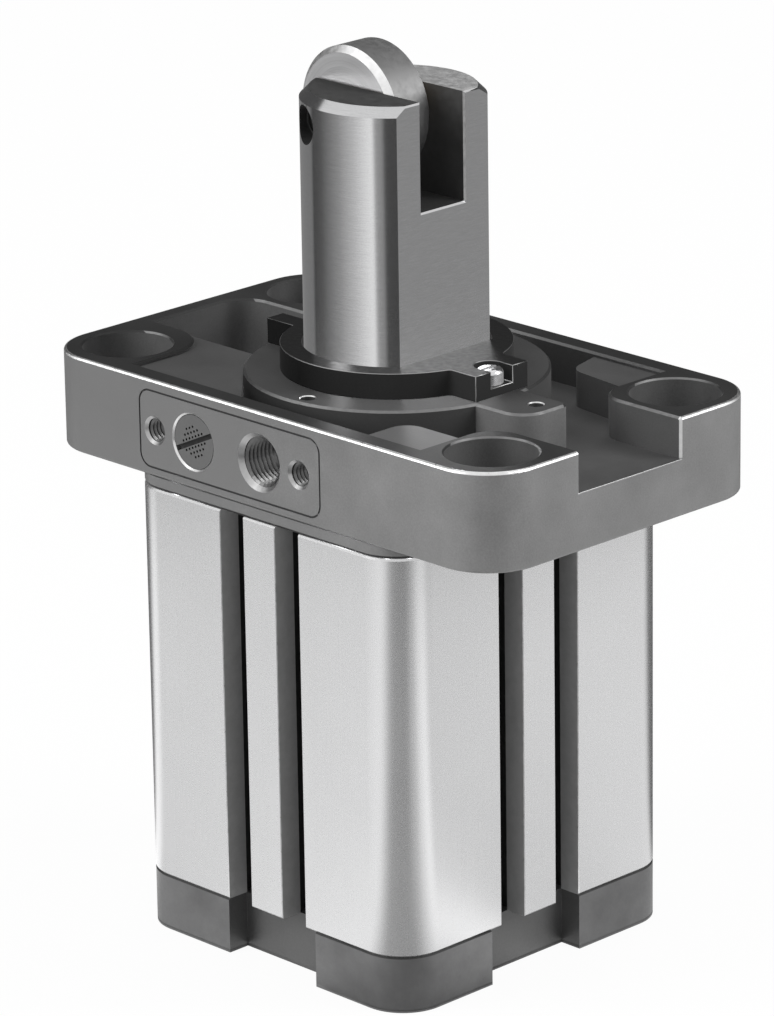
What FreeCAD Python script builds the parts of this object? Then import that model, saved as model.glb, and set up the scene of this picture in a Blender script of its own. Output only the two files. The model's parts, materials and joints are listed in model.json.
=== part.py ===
import FreeCAD, Part

import math
import os
from types import SimpleNamespace

import Sketcher
from FreeCAD import Placement, Rotation, Vector

# Pneumatic stopper cylinder with a sprung plunger and a stop roller, in millimetres.
# The origin is the centre of the end cap's underside. X runs along the long side of the
# mounting flange, Y across it, and Z up through the plunger. The plunger is modelled raised.

# Driving sizes, grouped by the piece that they belong to.
SIZES = {
    # Stack of housing parts, from the floor upwards
    "barrel_wall": 8.5,
    "body_corner": 8.2,
    "cap_height": 10.2,
    "head_block_height": 2.3,
    "flange_height": 17.5,
    "edge_break": 0.3,
    # Mounting flange
    "flange_length": 110.0,
    "flange_corner": 10.3,
    "flange_edge_radius": 0.6,
    "bolt_inset_x": 10.5,
    "bolt_inset_y": 11.25,
    "bolt_hole": 9.0,
    "bolt_head_recess": 15.8,
    "bolt_head_depth": 8.6,
    # Pockets in the top of the flange
    "pocket_depth": 7.3,
    "post_length": 20.0,
    "post_corner": 6.0,
    "front_post_corner": 9.5,
    "rim_width": 4.2,
    "rim_chamfer": 0.4,
    "notch_width": 24.4,
    "left_channel_depth": 10.5,
    "left_channel_rim": 3.6,
    "left_channel_front": 9.8,
    "left_channel_back": 12.0,
    "back_pocket_left": 21.5,
    "shelf_drop": 0.8,
    "shelf_corner": 3.5,
    "front_shelf_left": 21.5,
    "front_shelf_back": 19.1,
    "back_shelf_left": 19.8,
    "back_shelf_corner": 4.0,
    "back_shelf_front": 20.2,
    "back_shelf_slant": 2.4,
    "port_block_left": 8.2,
    "port_block_right": 8.0,
    "port_block_drop": 2.6,
    "screw_block_right": 14.0,
    "screw_block_drop": 5.2,
    # Boss that carries the guide ring
    "boss_wall": 10.5,
    "boss_rise": 0.5,
    "boss_chamfer": 0.4,
    "boss_lug_length": 10.5,
    "boss_lug_front": 6.8,
    "boss_lug_back": 4.2,
    "boss_lug_round": 5.0,
    "boss_lug_corner": 1.5,
    "lug_hole": 2.6,
    "lug_hole_reach": 6.7,
    "boss_hole_x": 2.4,
    "boss_hole_inset": 2.9,
    "small_hole_depth": 6.0,
    # Valve face on the front of the flange
    "valve_face_centre": 7.0,
    "valve_holes_centre": 7.7,
    "valve_face_length": 44.8,
    "valve_face_height": 14.2,
    "valve_face_drop": 8.95,
    "valve_face_corner": 2.6,
    "valve_line_width": 0.35,
    "valve_line_depth": 0.25,
    "valve_screw_inset": 4.6,
    "valve_screw_hole": 4.2,
    "valve_screw_depth": 8.0,
    "port_inset": 14.2,
    "port_bore": 8.8,
    "port_depth": 8.0,
    "port_drop": 9.1,
    "port_chamfer": 0.8,
    "valve_screw_chamfer": 0.5,
    "port_passage": 3.0,
    "air_drop": 2.4,
    # Vent plug
    "vent_bore": 9.8,
    "vent_depth": 5.0,
    "vent_sink": 0.3,
    "vent_chamfer": 0.3,
    "vent_slot_width": 0.9,
    "vent_slot_depth": 0.8,
    "vent_slot_turn": 25.0,
    "vent_hole": 0.45,
    "vent_hole_pitch": 0.85,
    "breather_hole": 3.0,
    "breather_inset": 6.5,
    # Profile barrel
    "bore": 50.0,
    "slot_inner_edge": 3.9,
    "slot_width": 5.7,
    "slot_neck_depth": 4.3,
    "slot_cavity_width": 7.6,
    "slot_cavity_depth": 2.4,
    # Tie screws
    "tie_inset": 7.5,
    "tie_screw": 6.0,
    "tie_engagement": 7.0,
    "tie_head": 10.0,
    "tie_head_height": 5.5,
    "tie_socket": 5.0,
    "tie_socket_depth": 3.0,
    "tie_recess_depth": 6.5,
    # End cap
    "cap_recess_near": 9.7,
    "cap_recess_far": 12.0,
    "cap_spigot_height": 7.8,
    "cap_spigot_wall": 4.7,
    "cap_floor": 4.5,
    # Cylinder head spigot
    "head_spigot_height": 15.8,
    "oring_groove_depth": 1.6,
    "oring_groove_width": 2.4,
    "oring_inset": 3.4,
    # Plunger
    "rod_diameter": 32.0,
    "rod_flat_depth": 4.25,
    "rod_reach": 50.0,
    "rod_chamfer": 1.6,
    "rod_flat_gap": 0.3,
    "stroke": 30.0,
    "fork_side_gap": 0.45,
    "fork_floor_gap": 2.2,
    "fork_chamfer": 0.3,
    "rod_neck_step": 3.0,
    "rod_neck_wall": 2.8,
    "spring_bore_top": 9.0,
    # Roller and its pin
    "roller_diameter": 23.4,
    "roller_width": 9.4,
    "roller_chamfer": 1.1,
    "roller_offset": 6.8,
    "roller_drop": 5.3,
    "roller_bush_wall": 1.5,
    "pin_diameter": 6.0,
    "pin_length": 21.0,
    "pin_mouth_gap": 0.4,
    "washer_width": 1.8,
    "washer_thickness": 0.3,
    # Piston set
    "piston_height": 14.0,
    "piston_gap": 0.2,
    "piston_clearance": 0.4,
    "piston_seal_groove": 3.2,
    "piston_seal_section": 4.5,
    "magnet_groove": 3.4,
    "magnet_section": 4.5,
    "band_groove": 3.0,
    "band_section": 1.8,
    "groove_land": 1.1,
    "nut_height": 5.5,
    "nut_wall": 5.0,
    "nut_slot": 4.0,
    "static_ring": 1.4,
    # Guide ring
    "ring_wall": 4.15,
    "ring_height": 4.6,
    "ring_clearance": 0.3,
    "ring_lug_length": 5.05,
    "ring_lug_half": 6.3,
    "ring_root": 1.0,
    "ring_tab_length": 5.55,
    "ring_tab_front": 6.4,
    "ring_tab_back": 2.5,
    "ring_screw_inset": 2.9,
    "ring_screw_recess": 5.4,
    "ring_screw_recess_depth": 3.0,
    "ring_screw_head": 4.7,
    "ring_screw_head_height": 2.6,
    "ring_screw_shank": 3.0,
    "ring_screw_length": 8.0,
    "ring_screw_slot": 0.8,
    # Bush, seals and bumpers in the head
    "bush_wall": 2.5,
    "bush_top_inset": 1.6,
    "rod_seal_section": 3.3,
    "rod_seal_height": 4.0,
    "rod_seal_land": 1.4,
    "bumper_inset": 0.8,
    "bumper_width": 1.4,
    "bumper_height": 3.2,
    "bumper_proud": 1.8,
    # Return spring and its seat
    "spring_wire": 1.8,
    "spring_gap": 0.8,
    "spring_turns": 14.0,
    "seat_rim": 0.6,
    "seat_thickness": 1.5,
    "seat_pilot_gap": 0.6,
    "seat_pilot_height": 5.0,
    # Clearances that are shared by several fits
    "running_fit": 0.05,
    "seat_fit": 0.1,
    "cut_margin": 1.0,
}

doc = FreeCAD.newDocument("stopper_cylinder")


class Size:
    """A length with its value and the sheet formula that gives it."""

    def __init__(self, value, text):
        self.value = value
        self.text = text

    @staticmethod
    def of(other):
        return other if isinstance(other, Size) else Size(float(other), repr(float(other)))

    def combine(self, sign, other, value):
        return Size(value, f"({self.text} {sign} {other.text})")

    def __add__(self, other):
        other = Size.of(other)
        return self.combine("+", other, self.value + other.value)

    def __sub__(self, other):
        other = Size.of(other)
        return self.combine("-", other, self.value - other.value)

    def __rsub__(self, other):
        return Size.of(other) - self

    def __mul__(self, other):
        other = Size.of(other)
        return self.combine("*", other, self.value * other.value)

    __radd__ = __add__
    __rmul__ = __mul__

    def __truediv__(self, other):
        other = Size.of(other)
        return self.combine("/", other, self.value / other.value)

    def __neg__(self):
        return Size.of(0) - self

    def root(self):
        return Size(math.sqrt(self.value), f"sqrt({self.text})")

    def cosine(self):
        return Size(math.cos(math.radians(self.value)), f"cos({self.text})")

    def sine(self):
        return Size(math.sin(math.radians(self.value)), f"sin({self.text})")


def make_sheet(sizes):
    """Writes the driving sizes into a sheet, and returns them by name."""
    sheet = doc.addObject("Spreadsheet::Sheet", "Sizes")
    cells = {}
    for row, (alias, value) in enumerate(sizes.items(), start=1):
        sheet.set(f"A{row}", alias)
        sheet.set(f"B{row}", str(value))
        sheet.setAlias(f"B{row}", alias)
        cells[alias] = Size(value, f"Sizes.{alias}")
    doc.recompute()
    return SimpleNamespace(**cells)


size = make_sheet(SIZES)

# Levels above the floor that several pieces share.
barrel_low = size.cap_height
piston_play = size.bumper_proud + size.piston_gap
spigots = size.cap_spigot_height + size.head_spigot_height
barrel_length = spigots + size.piston_height + size.stroke + piston_play * 2
barrel_top = barrel_low + barrel_length
flange_low = barrel_top + size.head_block_height
flange_top = flange_low + size.flange_height
boss_top = flange_top + size.boss_rise
ring_top = boss_top + size.ring_height
head_spigot_low = barrel_top - size.head_spigot_height
piston_top = head_spigot_low - piston_play
piston_low = piston_top - size.piston_height
cap_spigot_top = barrel_low + size.cap_spigot_height
rod_top = flange_top + size.rod_reach
roller_axis = rod_top - size.roller_drop
port_level = flange_top - size.port_drop
half_side = size.bore / 2 + size.barrel_wall
half_length = size.flange_length / 2
tie_reach = half_side - size.tie_inset
breather_y = half_side - size.breather_inset
valve_screw_reach = size.valve_face_length / 2 - size.valve_screw_inset
port_reach = size.valve_face_length / 2 - size.port_inset
breather_x = size.valve_holes_centre + port_reach
supply_x = port_reach - size.valve_holes_centre
rod_radius = size.rod_diameter / 2
rod_flat = rod_radius - size.rod_flat_depth
neck_radius = rod_radius - size.rod_neck_step
spring_bore_radius = neck_radius - size.rod_neck_wall
boss_radius = rod_radius + size.boss_wall
ring_radius = rod_radius + size.ring_wall
ring_lug_reach = ring_radius + size.ring_lug_length
ring_screw_x = ring_lug_reach - size.ring_screw_inset
bumper_outer = size.bore / 2 - size.bumper_inset
bumper_inner = bumper_outer - size.bumper_width
spigot_radius = size.bore / 2 - size.seat_fit


def new_body(label):
    body = doc.addObject("PartDesign::Body", label)
    body.Label = label
    return body


def sketch_on(body, name, role, offset=None):
    """A sketch on one of the body's own origin planes, moved along the plane's normal."""
    sketch = body.newObject("Sketcher::SketchObject", name)
    plane = next(item for item in body.Origin.OriginFeatures if item.Role == role)
    sketch.AttachmentSupport = [(plane, "")]
    sketch.MapMode = "FlatFace"
    if offset is not None:
        sketch.setExpression("AttachmentOffset.Base.z", Size.of(offset).text)
    return sketch


def hold(sketch, kind, geometry, point, length):
    """Ties a point's distance from the sketch's origin to a size, or holds it on an axis."""
    if length.value == 0:
        axis = -2 if kind == "DistanceX" else -1
        sketch.addConstraint(Sketcher.Constraint("PointOnObject", geometry, point, axis))
        return
    datum = Sketcher.Constraint(kind, -1, 1, geometry, point, length.value)
    index = sketch.addConstraint(datum)
    sketch.setExpression(f"Constraints[{index}]", length.text)


def outline(sketch, corners):
    """A closed outline. A corner is two sizes, and a third where it is rounded."""
    spots = [[Size.of(part) for part in corner] for corner in corners]
    places = [Vector(spot[0].value, spot[1].value, 0) for spot in spots]
    count = len(spots)
    entries, exits = [], []
    for number, spot in enumerate(spots):
        place = places[number]
        to_last = (places[number - 1] - place).normalize()
        to_next = (places[(number + 1) % count] - place).normalize()
        inset = 0.0
        if len(spot) == 3:
            inset = spot[2].value / math.tan(to_last.getAngle(to_next) / 2)
        entries.append(place + to_last * inset)
        exits.append(place + to_next * inset)
    lines = []
    for number in range(count):
        line = Part.LineSegment(exits[number], entries[(number + 1) % count])
        lines.append(sketch.addGeometry(line))
    for number, spot in enumerate(spots):
        before, after = lines[number - 1], lines[number]
        if len(spot) == 2:
            sketch.addConstraint(Sketcher.Constraint("Coincident", before, 2, after, 1))
            hold(sketch, "DistanceX", after, 1, spot[0])
            hold(sketch, "DistanceY", after, 1, spot[1])
            continue
        round_corner(sketch, spot, places[number], entries[number], exits[number], before, after)


def round_corner(sketch, spot, place, start, end, before, after):
    """An arc between two lines, whose sharp corner stays as a construction point."""
    corner = sketch.addGeometry(Part.Point(place), True)
    hold(sketch, "DistanceX", corner, 1, spot[0])
    hold(sketch, "DistanceY", corner, 1, spot[1])
    for line in (before, after):
        sketch.addConstraint(Sketcher.Constraint("PointOnObject", corner, 1, line))
    radius = spot[2].value
    inward = ((start - place).normalize() + (end - place).normalize()).normalize()
    reach = math.hypot(radius, (start - place).Length)
    centre = place + inward * reach
    turns_left = (place - start).cross(end - place).z > 0
    first, last = (start, end) if turns_left else (end, start)
    angles = [math.atan2(spot_.y - centre.y, spot_.x - centre.x) for spot_ in (first, last)]
    circle = Part.Circle(centre, Vector(0, 0, 1), radius)
    arc = sketch.addGeometry(Part.ArcOfCircle(circle, angles[0], angles[1]))
    ends = (1, 2) if turns_left else (2, 1)
    sketch.addConstraint(Sketcher.Constraint("Tangent", before, 2, arc, ends[0]))
    sketch.addConstraint(Sketcher.Constraint("Tangent", arc, ends[1], after, 1))
    index = sketch.addConstraint(Sketcher.Constraint("Radius", arc, radius))
    sketch.setExpression(f"Constraints[{index}]", spot[2].text)


def circle(sketch, x, y, diameter):
    """A circle whose centre and diameter are tied to sizes."""
    x, y, radius = Size.of(x), Size.of(y), diameter / 2
    centre = Vector(x.value, y.value, 0)
    index = sketch.addGeometry(Part.Circle(centre, Vector(0, 0, 1), radius.value))
    hold(sketch, "DistanceX", index, 3, x)
    hold(sketch, "DistanceY", index, 3, y)
    datum = sketch.addConstraint(Sketcher.Constraint("Radius", index, radius.value))
    sketch.setExpression(f"Constraints[{datum}]", radius.text)


def rectangle(sketch, left, right, low, high, corner=None):
    ends = [(left, low), (right, low), (right, high), (left, high)]
    outline(sketch, [spot if corner is None else (*spot, corner) for spot in ends])


def pad(body, name, sketch, length, downwards=False):
    feature = body.newObject("PartDesign::Pad", name)
    feature.Profile = sketch
    feature.setExpression("Length", Size.of(length).text)
    feature.Reversed = downwards
    return feature


def pocket(body, name, sketch, depth=None, upwards=False):
    """A cut against the sketch's normal, or along it; with no depth it goes right through."""
    feature = body.newObject("PartDesign::Pocket", name)
    feature.Profile = sketch
    feature.Reversed = upwards
    if depth is None:
        feature.Type = "ThroughAll"
    else:
        feature.setExpression("Length", Size.of(depth).text)
    return feature


def turned(body, name, corners, cut=False):
    """A profile of radius and height pairs, turned about the body's own Z axis."""
    sketch = sketch_on(body, f"{name}_profile", "XZ_Plane")
    outline(sketch, corners)
    kind = "PartDesign::Groove" if cut else "PartDesign::Revolution"
    feature = body.newObject(kind, name)
    feature.Profile = sketch
    feature.ReferenceAxis = (sketch, ["V_Axis"])
    feature.Angle = 360
    return feature


def dress(body, kind, name, length, chosen):
    """Rounds or chamfers the edges of the body's last feature that a test chooses."""
    doc.recompute()
    base = body.Tip
    edges = [f"Edge{n}" for n, edge in enumerate(base.Shape.Edges, start=1) if chosen(edge)]
    if not edges:
        raise ValueError(f"{name} finds no edge")
    feature = body.newObject(kind, name)
    feature.Base = (base, edges)
    feature.setExpression("Radius" if kind.endswith("Fillet") else "Size", length.text)
    return feature


def repeat_round(body, name, features, count):
    """Copies features at even steps about the body's Z axis."""
    pattern = body.newObject("PartDesign::PolarPattern", name)
    pattern.Originals = features
    z_axis = next(item for item in body.Origin.OriginFeatures if item.Role == "Z_Axis")
    pattern.Axis = (z_axis, [""])
    pattern.Angle = 360
    pattern.Occurrences = count
    body.Tip = pattern
    return pattern


def lies_at(edge, axis, level, reach=1e-4):
    """Says whether all of an edge lies at one level along an axis."""
    box = edge.BoundBox
    low, high = getattr(box, axis + "Min"), getattr(box, axis + "Max")
    return abs(low - level) < reach and abs(high - level) < reach


def place_along_y(body, x, level):
    """Lays a piece that was turned about Z along the Y axis, at a place above the floor."""
    body.Placement = Placement(Vector(0, 0, 0), Rotation(Vector(1, 0, 0), 90))
    body.setExpression("Placement.Base.x", Size.of(x).text)
    body.setExpression("Placement.Base.z", level.text)


def ring_section(inner, outer, low, high):
    return [(inner, low), (outer, low), (outer, high), (inner, high)]


def washer(label, inner, outer, low, high):
    """A plain ring with its radii and its two levels."""
    body = new_body(label)
    turned(body, f"{label}_ring", ring_section(inner, outer, low, high))
    return body


def tie_corners():
    reach = tie_reach
    return [(reach, reach), (-reach, reach), (-reach, -reach), (reach, -reach)]


# End cap: a moulded plate with a pad at each corner and a spigot that closes the bore.
def make_end_cap():
    body = new_body("end_cap")
    plate = sketch_on(body, "cap_outline", "XY_Plane")
    rectangle(plate, -half_side, half_side, -half_side, half_side, size.body_corner)
    pad(body, "cap_plate", plate, size.cap_height)
    spigot = sketch_on(body, "cap_spigot_outline", "XY_Plane", barrel_low)
    circle(spigot, 0, 0, spigot_radius * 2)
    pad(body, "cap_spigot", spigot, size.cap_spigot_height)
    recesses = sketch_on(body, "cap_recess_outlines", "XY_Plane")
    floor_line = half_side - size.slot_neck_depth
    near, far, past = size.cap_recess_near, size.cap_recess_far, half_side + size.cut_margin
    rectangle(recesses, -near, far, -past, -floor_line)
    rectangle(recesses, -far, near, floor_line, past)
    rectangle(recesses, floor_line, past, -far, near)
    rectangle(recesses, -past, -floor_line, -near, far)
    pocket(body, "cap_recesses", recesses, size.cap_height, upwards=True)
    groove_low = barrel_low + size.oring_inset
    turned(body, "cap_oring_groove", ring_section(
        spigot_radius - size.oring_groove_depth, spigot_radius + size.cut_margin,
        groove_low, groove_low + size.oring_groove_width), cut=True)
    turned(body, "cap_cup_cut", ring_section(
        0, spigot_radius - size.cap_spigot_wall, size.cap_floor,
        cap_spigot_top + size.cut_margin), cut=True)
    bumper_low = cap_spigot_top - size.bumper_height + size.bumper_proud
    turned(body, "cap_bumper_groove", ring_section(
        bumper_inner - size.seat_fit, bumper_outer + size.seat_fit,
        bumper_low, cap_spigot_top + size.cut_margin), cut=True)
    holes = sketch_on(body, "cap_screw_holes", "XY_Plane")
    for x, y in tie_corners():
        circle(holes, x, y, size.tie_screw + size.seat_fit * 4)
    pocket(body, "cap_screw_bores", holes, size.cap_height + size.cut_margin, upwards=True)
    heads = sketch_on(body, "cap_head_recesses", "XY_Plane")
    for x, y in tie_corners():
        circle(heads, x, y, size.tie_head + size.seat_fit * 4)
    pocket(body, "cap_head_bores", heads, size.tie_recess_depth, upwards=True)
    breather = sketch_on(body, "cap_breather_hole", "XY_Plane", barrel_low)
    circle(breather, -breather_x, -breather_y, size.breather_hole)
    pocket(body, "cap_breather", breather, size.cap_height - size.cap_floor)
    channel = sketch_on(body, "cap_breather_channel_outline", "XY_Plane", barrel_low)
    half = size.breather_hole / 2
    left = -breather_x - half
    rectangle(channel, left, left + size.breather_hole, -breather_y, -size.breather_hole)
    pocket(body, "cap_breather_channel", channel, size.cap_height - size.cap_floor)
    return body


# Profile barrel: an extrusion with two sensor slots in each side and a honed bore.
def make_barrel():
    body = new_body("barrel")
    section = sketch_on(body, "barrel_outline", "XY_Plane", barrel_low)
    rectangle(section, -half_side, half_side, -half_side, half_side, size.body_corner)
    circle(section, 0, 0, size.bore)
    for x, y in tie_corners():
        circle(section, x, y, size.tie_screw + size.seat_fit * 4)
    circle(section, -breather_x, -breather_y, size.breather_hole)
    pad(body, "barrel_extrusion", section, barrel_length)
    dress(body, "PartDesign::Chamfer", "barrel_edge_break", size.edge_break, is_barrel_end_edge)
    slots = sketch_on(body, "slot_outlines", "XY_Plane", barrel_top)
    for side in (1, -1):
        outline(slots, slot_corners(side))
    cut = pocket(body, "side_slots", slots, barrel_length)
    repeat_round(body, "all_slots", [cut], 4)
    return body


def slot_corners(side):
    """The T section of a slot that opens in the +X face, on one side of its centre line."""
    inner = size.slot_inner_edge
    outer = inner + size.slot_width
    lip = (size.slot_cavity_width - size.slot_width) / 2
    mouth = half_side + size.cut_margin
    neck = half_side - size.slot_neck_depth
    floor = neck - size.slot_cavity_depth
    path = [(mouth, inner), (neck, inner), (neck, inner - lip), (floor, inner - lip),
            (floor, outer + lip), (neck, outer + lip), (neck, outer), (mouth, outer)]
    return [(x, y * side) for x, y in path]


def is_barrel_end_edge(edge):
    """The outer edges of the barrel's two ends."""
    for level in (barrel_low.value, barrel_top.value):
        if lies_at(edge, "Z", level):
            middle = edge.CenterOfMass
            return max(abs(middle.x), abs(middle.y)) > half_side.value - size.body_corner.value / 2
    return False


# Flange head: one casting with the mounting flange, its pockets, the bearing boss and the
# spigot that closes the top of the barrel.
def make_flange_head():
    body = new_body("flange_head")
    plate = sketch_on(body, "flange_outline", "XY_Plane", flange_low)
    rectangle(plate, -half_length, half_length, -half_side, half_side, size.flange_corner)
    pad(body, "flange_plate", plate, size.flange_height)
    dress(body, "PartDesign::Fillet", "flange_edges", size.flange_edge_radius,
          lambda edge: lies_at(edge, "Z", flange_top.value) or lies_at(edge, "Z", flange_low.value))
    cut_flange_pockets(body)
    add_shelves(body)
    add_boss(body)
    add_spigot(body)
    cut_bearing_bore(body)
    cut_bolt_holes(body)
    cut_valve_face(body)
    cut_air_passages(body)
    return body


def cut_flange_pockets(body):
    """The shallow pocket round the boss, its way out to the right, and the left channel."""
    notch = size.notch_width / 2
    post, corner = half_length - size.post_length, size.post_corner
    inner = half_side - size.rim_width
    past = half_length + size.cut_margin
    channel_end = half_length - size.left_channel_rim
    front, back = size.left_channel_front, size.left_channel_back
    pockets = sketch_on(body, "pocket_outline", "XY_Plane", flange_top)
    outline(pockets, [
        (past, -notch), (past, notch), (post, notch, corner), (post, inner),
        (-size.back_pocket_left, inner), (-size.back_pocket_left, back),
        (-channel_end, back, corner), (-channel_end, -front),
        (-post, -front, size.front_post_corner),
        (-post, -inner), (post, -inner), (post, -notch, corner)])
    pocket(body, "flange_pockets", pockets, size.pocket_depth)
    dress(body, "PartDesign::Chamfer", "pocket_rims", size.rim_chamfer, is_pocket_rim)
    channel = sketch_on(body, "left_channel_outline", "XY_Plane", flange_top)
    boss_side = boss_radius - size.rim_width
    outline(channel, [(-channel_end, -front), (-boss_side, -front),
                      (-boss_side, back), (-channel_end, back, corner)])
    pocket(body, "left_channel", channel, size.left_channel_depth)


def is_pocket_rim(edge):
    """The pockets' upper edges, apart from the ones in line with the outer rounding."""
    inside = half_length.value - size.flange_edge_radius.value
    return lies_at(edge, "Z", flange_top.value) and edge.BoundBox.XMax < inside - 1e-3 and (
        edge.BoundBox.YMax < half_side.value - size.flange_edge_radius.value - 1e-3) and (
        edge.BoundBox.YMin > size.flange_edge_radius.value - half_side.value + 1e-3) and (
        edge.BoundBox.XMin > 1e-3 - inside)


def add_shelves(body):
    """Shelves just below the rim beside the corner posts, and blocks round the ports."""
    floor = flange_top - size.pocket_depth
    inner = half_side - size.rim_width
    overlap = inner + size.cut_margin
    post_face = half_length - size.post_length
    post = post_face + size.post_corner - size.cut_margin
    front_post = post_face + size.front_post_corner + size.cut_margin
    tangent = boss_radius * math.sqrt(2)
    depth = size.pocket_depth - size.shelf_drop
    left = sketch_on(body, "front_left_shelf_outline", "XY_Plane", floor)
    middle = boss_radius / math.sqrt(2) - size.cut_margin
    outline(left, [(-front_post, -overlap), (overlap - tangent, -overlap),
                   (middle + size.cut_margin * 2 - tangent, -middle - size.cut_margin * 2),
                   (-middle, -size.left_channel_front),
                   (-front_post, -size.left_channel_front)])
    pad(body, "front_left_shelf", left, depth)
    right = sketch_on(body, "front_right_shelf_outline", "XY_Plane", floor)
    outline(right, [(size.front_shelf_left, -overlap), (post, -overlap), (post, -size.front_shelf_back),
                    (size.front_shelf_left, -size.front_shelf_back, size.shelf_corner)])
    pad(body, "front_right_shelf", right, depth)
    back = sketch_on(body, "back_right_shelf_outline", "XY_Plane", floor)
    step = size.back_shelf_slant / 2
    outline(back, [(size.back_shelf_left + step, size.back_shelf_front + step,
                    size.back_shelf_corner),
                   (post, size.back_shelf_front - step), (post, overlap),
                   (size.back_shelf_left - step, overlap)])
    pad(body, "back_right_shelf", back, depth)
    wedge = sketch_on(body, "screw_block_outline", "XY_Plane", floor)
    rectangle(wedge, -middle, size.screw_block_right, -overlap, -middle)
    pad(body, "screw_block", wedge, size.pocket_depth - size.screw_block_drop)
    block = sketch_on(body, "port_block_outline", "XY_Plane", floor)
    rectangle(block, -size.port_block_left, size.port_block_right, -overlap, -middle)
    pad(body, "port_block", block, size.pocket_depth - size.port_block_drop)


def add_boss(body):
    """The round boss and the rounded lug on its right."""
    boss_depth = size.left_channel_depth + size.boss_rise
    boss = sketch_on(body, "boss_outline", "XY_Plane", boss_top)
    circle(boss, 0, 0, boss_radius * 2)
    pad(body, "boss", boss, boss_depth, downwards=True)
    lug = sketch_on(body, "boss_lug_outline", "XY_Plane", boss_top)
    root, reach = boss_radius - size.rim_width, boss_radius + size.boss_lug_length
    outline(lug, [(root, -size.boss_lug_front), (reach, -size.boss_lug_front, size.boss_lug_round),
                  (reach, size.boss_lug_back, size.boss_lug_corner), (root, size.boss_lug_back)])
    pad(body, "boss_lug", lug, size.pocket_depth + size.boss_rise, downwards=True)
    dress(body, "PartDesign::Chamfer", "boss_edge_break", size.boss_chamfer,
          lambda edge: lies_at(edge, "Z", boss_top.value))
    holes = sketch_on(body, "boss_hole_outlines", "XY_Plane", boss_top)
    circle(holes, boss_radius + size.lug_hole_reach, 0, size.lug_hole)
    circle(holes, size.boss_hole_x, size.boss_hole_inset - boss_radius, size.lug_hole)
    pocket(body, "boss_holes", holes, size.small_hole_depth)
    screw = sketch_on(body, "ring_screw_hole_outline", "XY_Plane", boss_top)
    circle(screw, ring_screw_x, 0, size.ring_screw_shank + size.seat_fit)
    depth = size.ring_screw_length + size.cut_margin
    pocket(body, "ring_screw_hole", screw, depth)


def add_spigot(body):
    """The square block that meets the barrel, and the round spigot in its bore."""
    block = sketch_on(body, "head_block_outline", "XY_Plane", barrel_top)
    rectangle(block, -half_side, half_side, -half_side, half_side, size.body_corner)
    pad(body, "head_block", block, size.head_block_height)
    spigot = sketch_on(body, "head_spigot_outline", "XY_Plane", barrel_top)
    circle(spigot, 0, 0, spigot_radius * 2)
    pad(body, "head_spigot", spigot, size.head_spigot_height, downwards=True)
    groove_low = barrel_top - size.oring_inset - size.oring_groove_width
    turned(body, "head_oring_groove", ring_section(
        spigot_radius - size.oring_groove_depth, spigot_radius + size.cut_margin,
        groove_low, groove_low + size.oring_groove_width), cut=True)
    bumper_top = head_spigot_low + size.bumper_height - size.bumper_proud
    turned(body, "head_bumper_groove", ring_section(
        bumper_inner - size.seat_fit, bumper_outer + size.seat_fit,
        head_spigot_low - size.cut_margin, bumper_top), cut=True)
    screws = sketch_on(body, "tie_thread_outlines", "XY_Plane", barrel_top)
    for x, y in tie_corners():
        circle(screws, x, y, size.tie_screw + size.seat_fit)
    pocket(body, "tie_threads", screws, size.tie_engagement + size.cut_margin, upwards=True)


def cut_bearing_bore(body):
    """The stepped bore for the rod, its seal and the bush."""
    rod_way = rod_radius + size.ring_clearance
    low = head_spigot_low - size.cut_margin
    seal_low = head_spigot_low + size.rod_seal_land
    seal_top = seal_low + size.rod_seal_height
    bush_low = seal_top + size.rod_seal_land
    seal_bed = rod_radius + size.rod_seal_section
    bush_bed = rod_radius + size.bush_wall
    turned(body, "bearing_bore", [
        (0, low), (rod_way, low), (rod_way, seal_low), (seal_bed, seal_low), (seal_bed, seal_top),
        (rod_way, seal_top), (rod_way, bush_low), (bush_bed, bush_low),
        (bush_bed, boss_top + size.cut_margin), (0, boss_top + size.cut_margin)], cut=True)


def bolt_spots():
    x, y = half_length - size.bolt_inset_x, half_side - size.bolt_inset_y
    return [(x, y), (-x, y), (-x, -y), (x, -y)]


def cut_bolt_holes(body):
    heads = sketch_on(body, "bolt_head_outlines", "XY_Plane", flange_top)
    shanks = sketch_on(body, "bolt_hole_outlines", "XY_Plane", flange_top)
    for x, y in bolt_spots():
        circle(heads, x, y, size.bolt_head_recess)
        circle(shanks, x, y, size.bolt_hole)
    pocket(body, "bolt_heads", heads, size.bolt_head_depth)
    pocket(body, "bolt_holes", shanks)
    recess_radius = size.bolt_head_recess.value / 2
    dress(body, "PartDesign::Chamfer", "bolt_head_edges", size.edge_break,
          lambda edge: lies_at(edge, "Z", flange_top.value) and is_circle(edge, recess_radius))


def is_circle(edge, radius):
    return isinstance(edge.Curve, Part.Circle) and abs(edge.Curve.Radius - radius) < 1e-4


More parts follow.
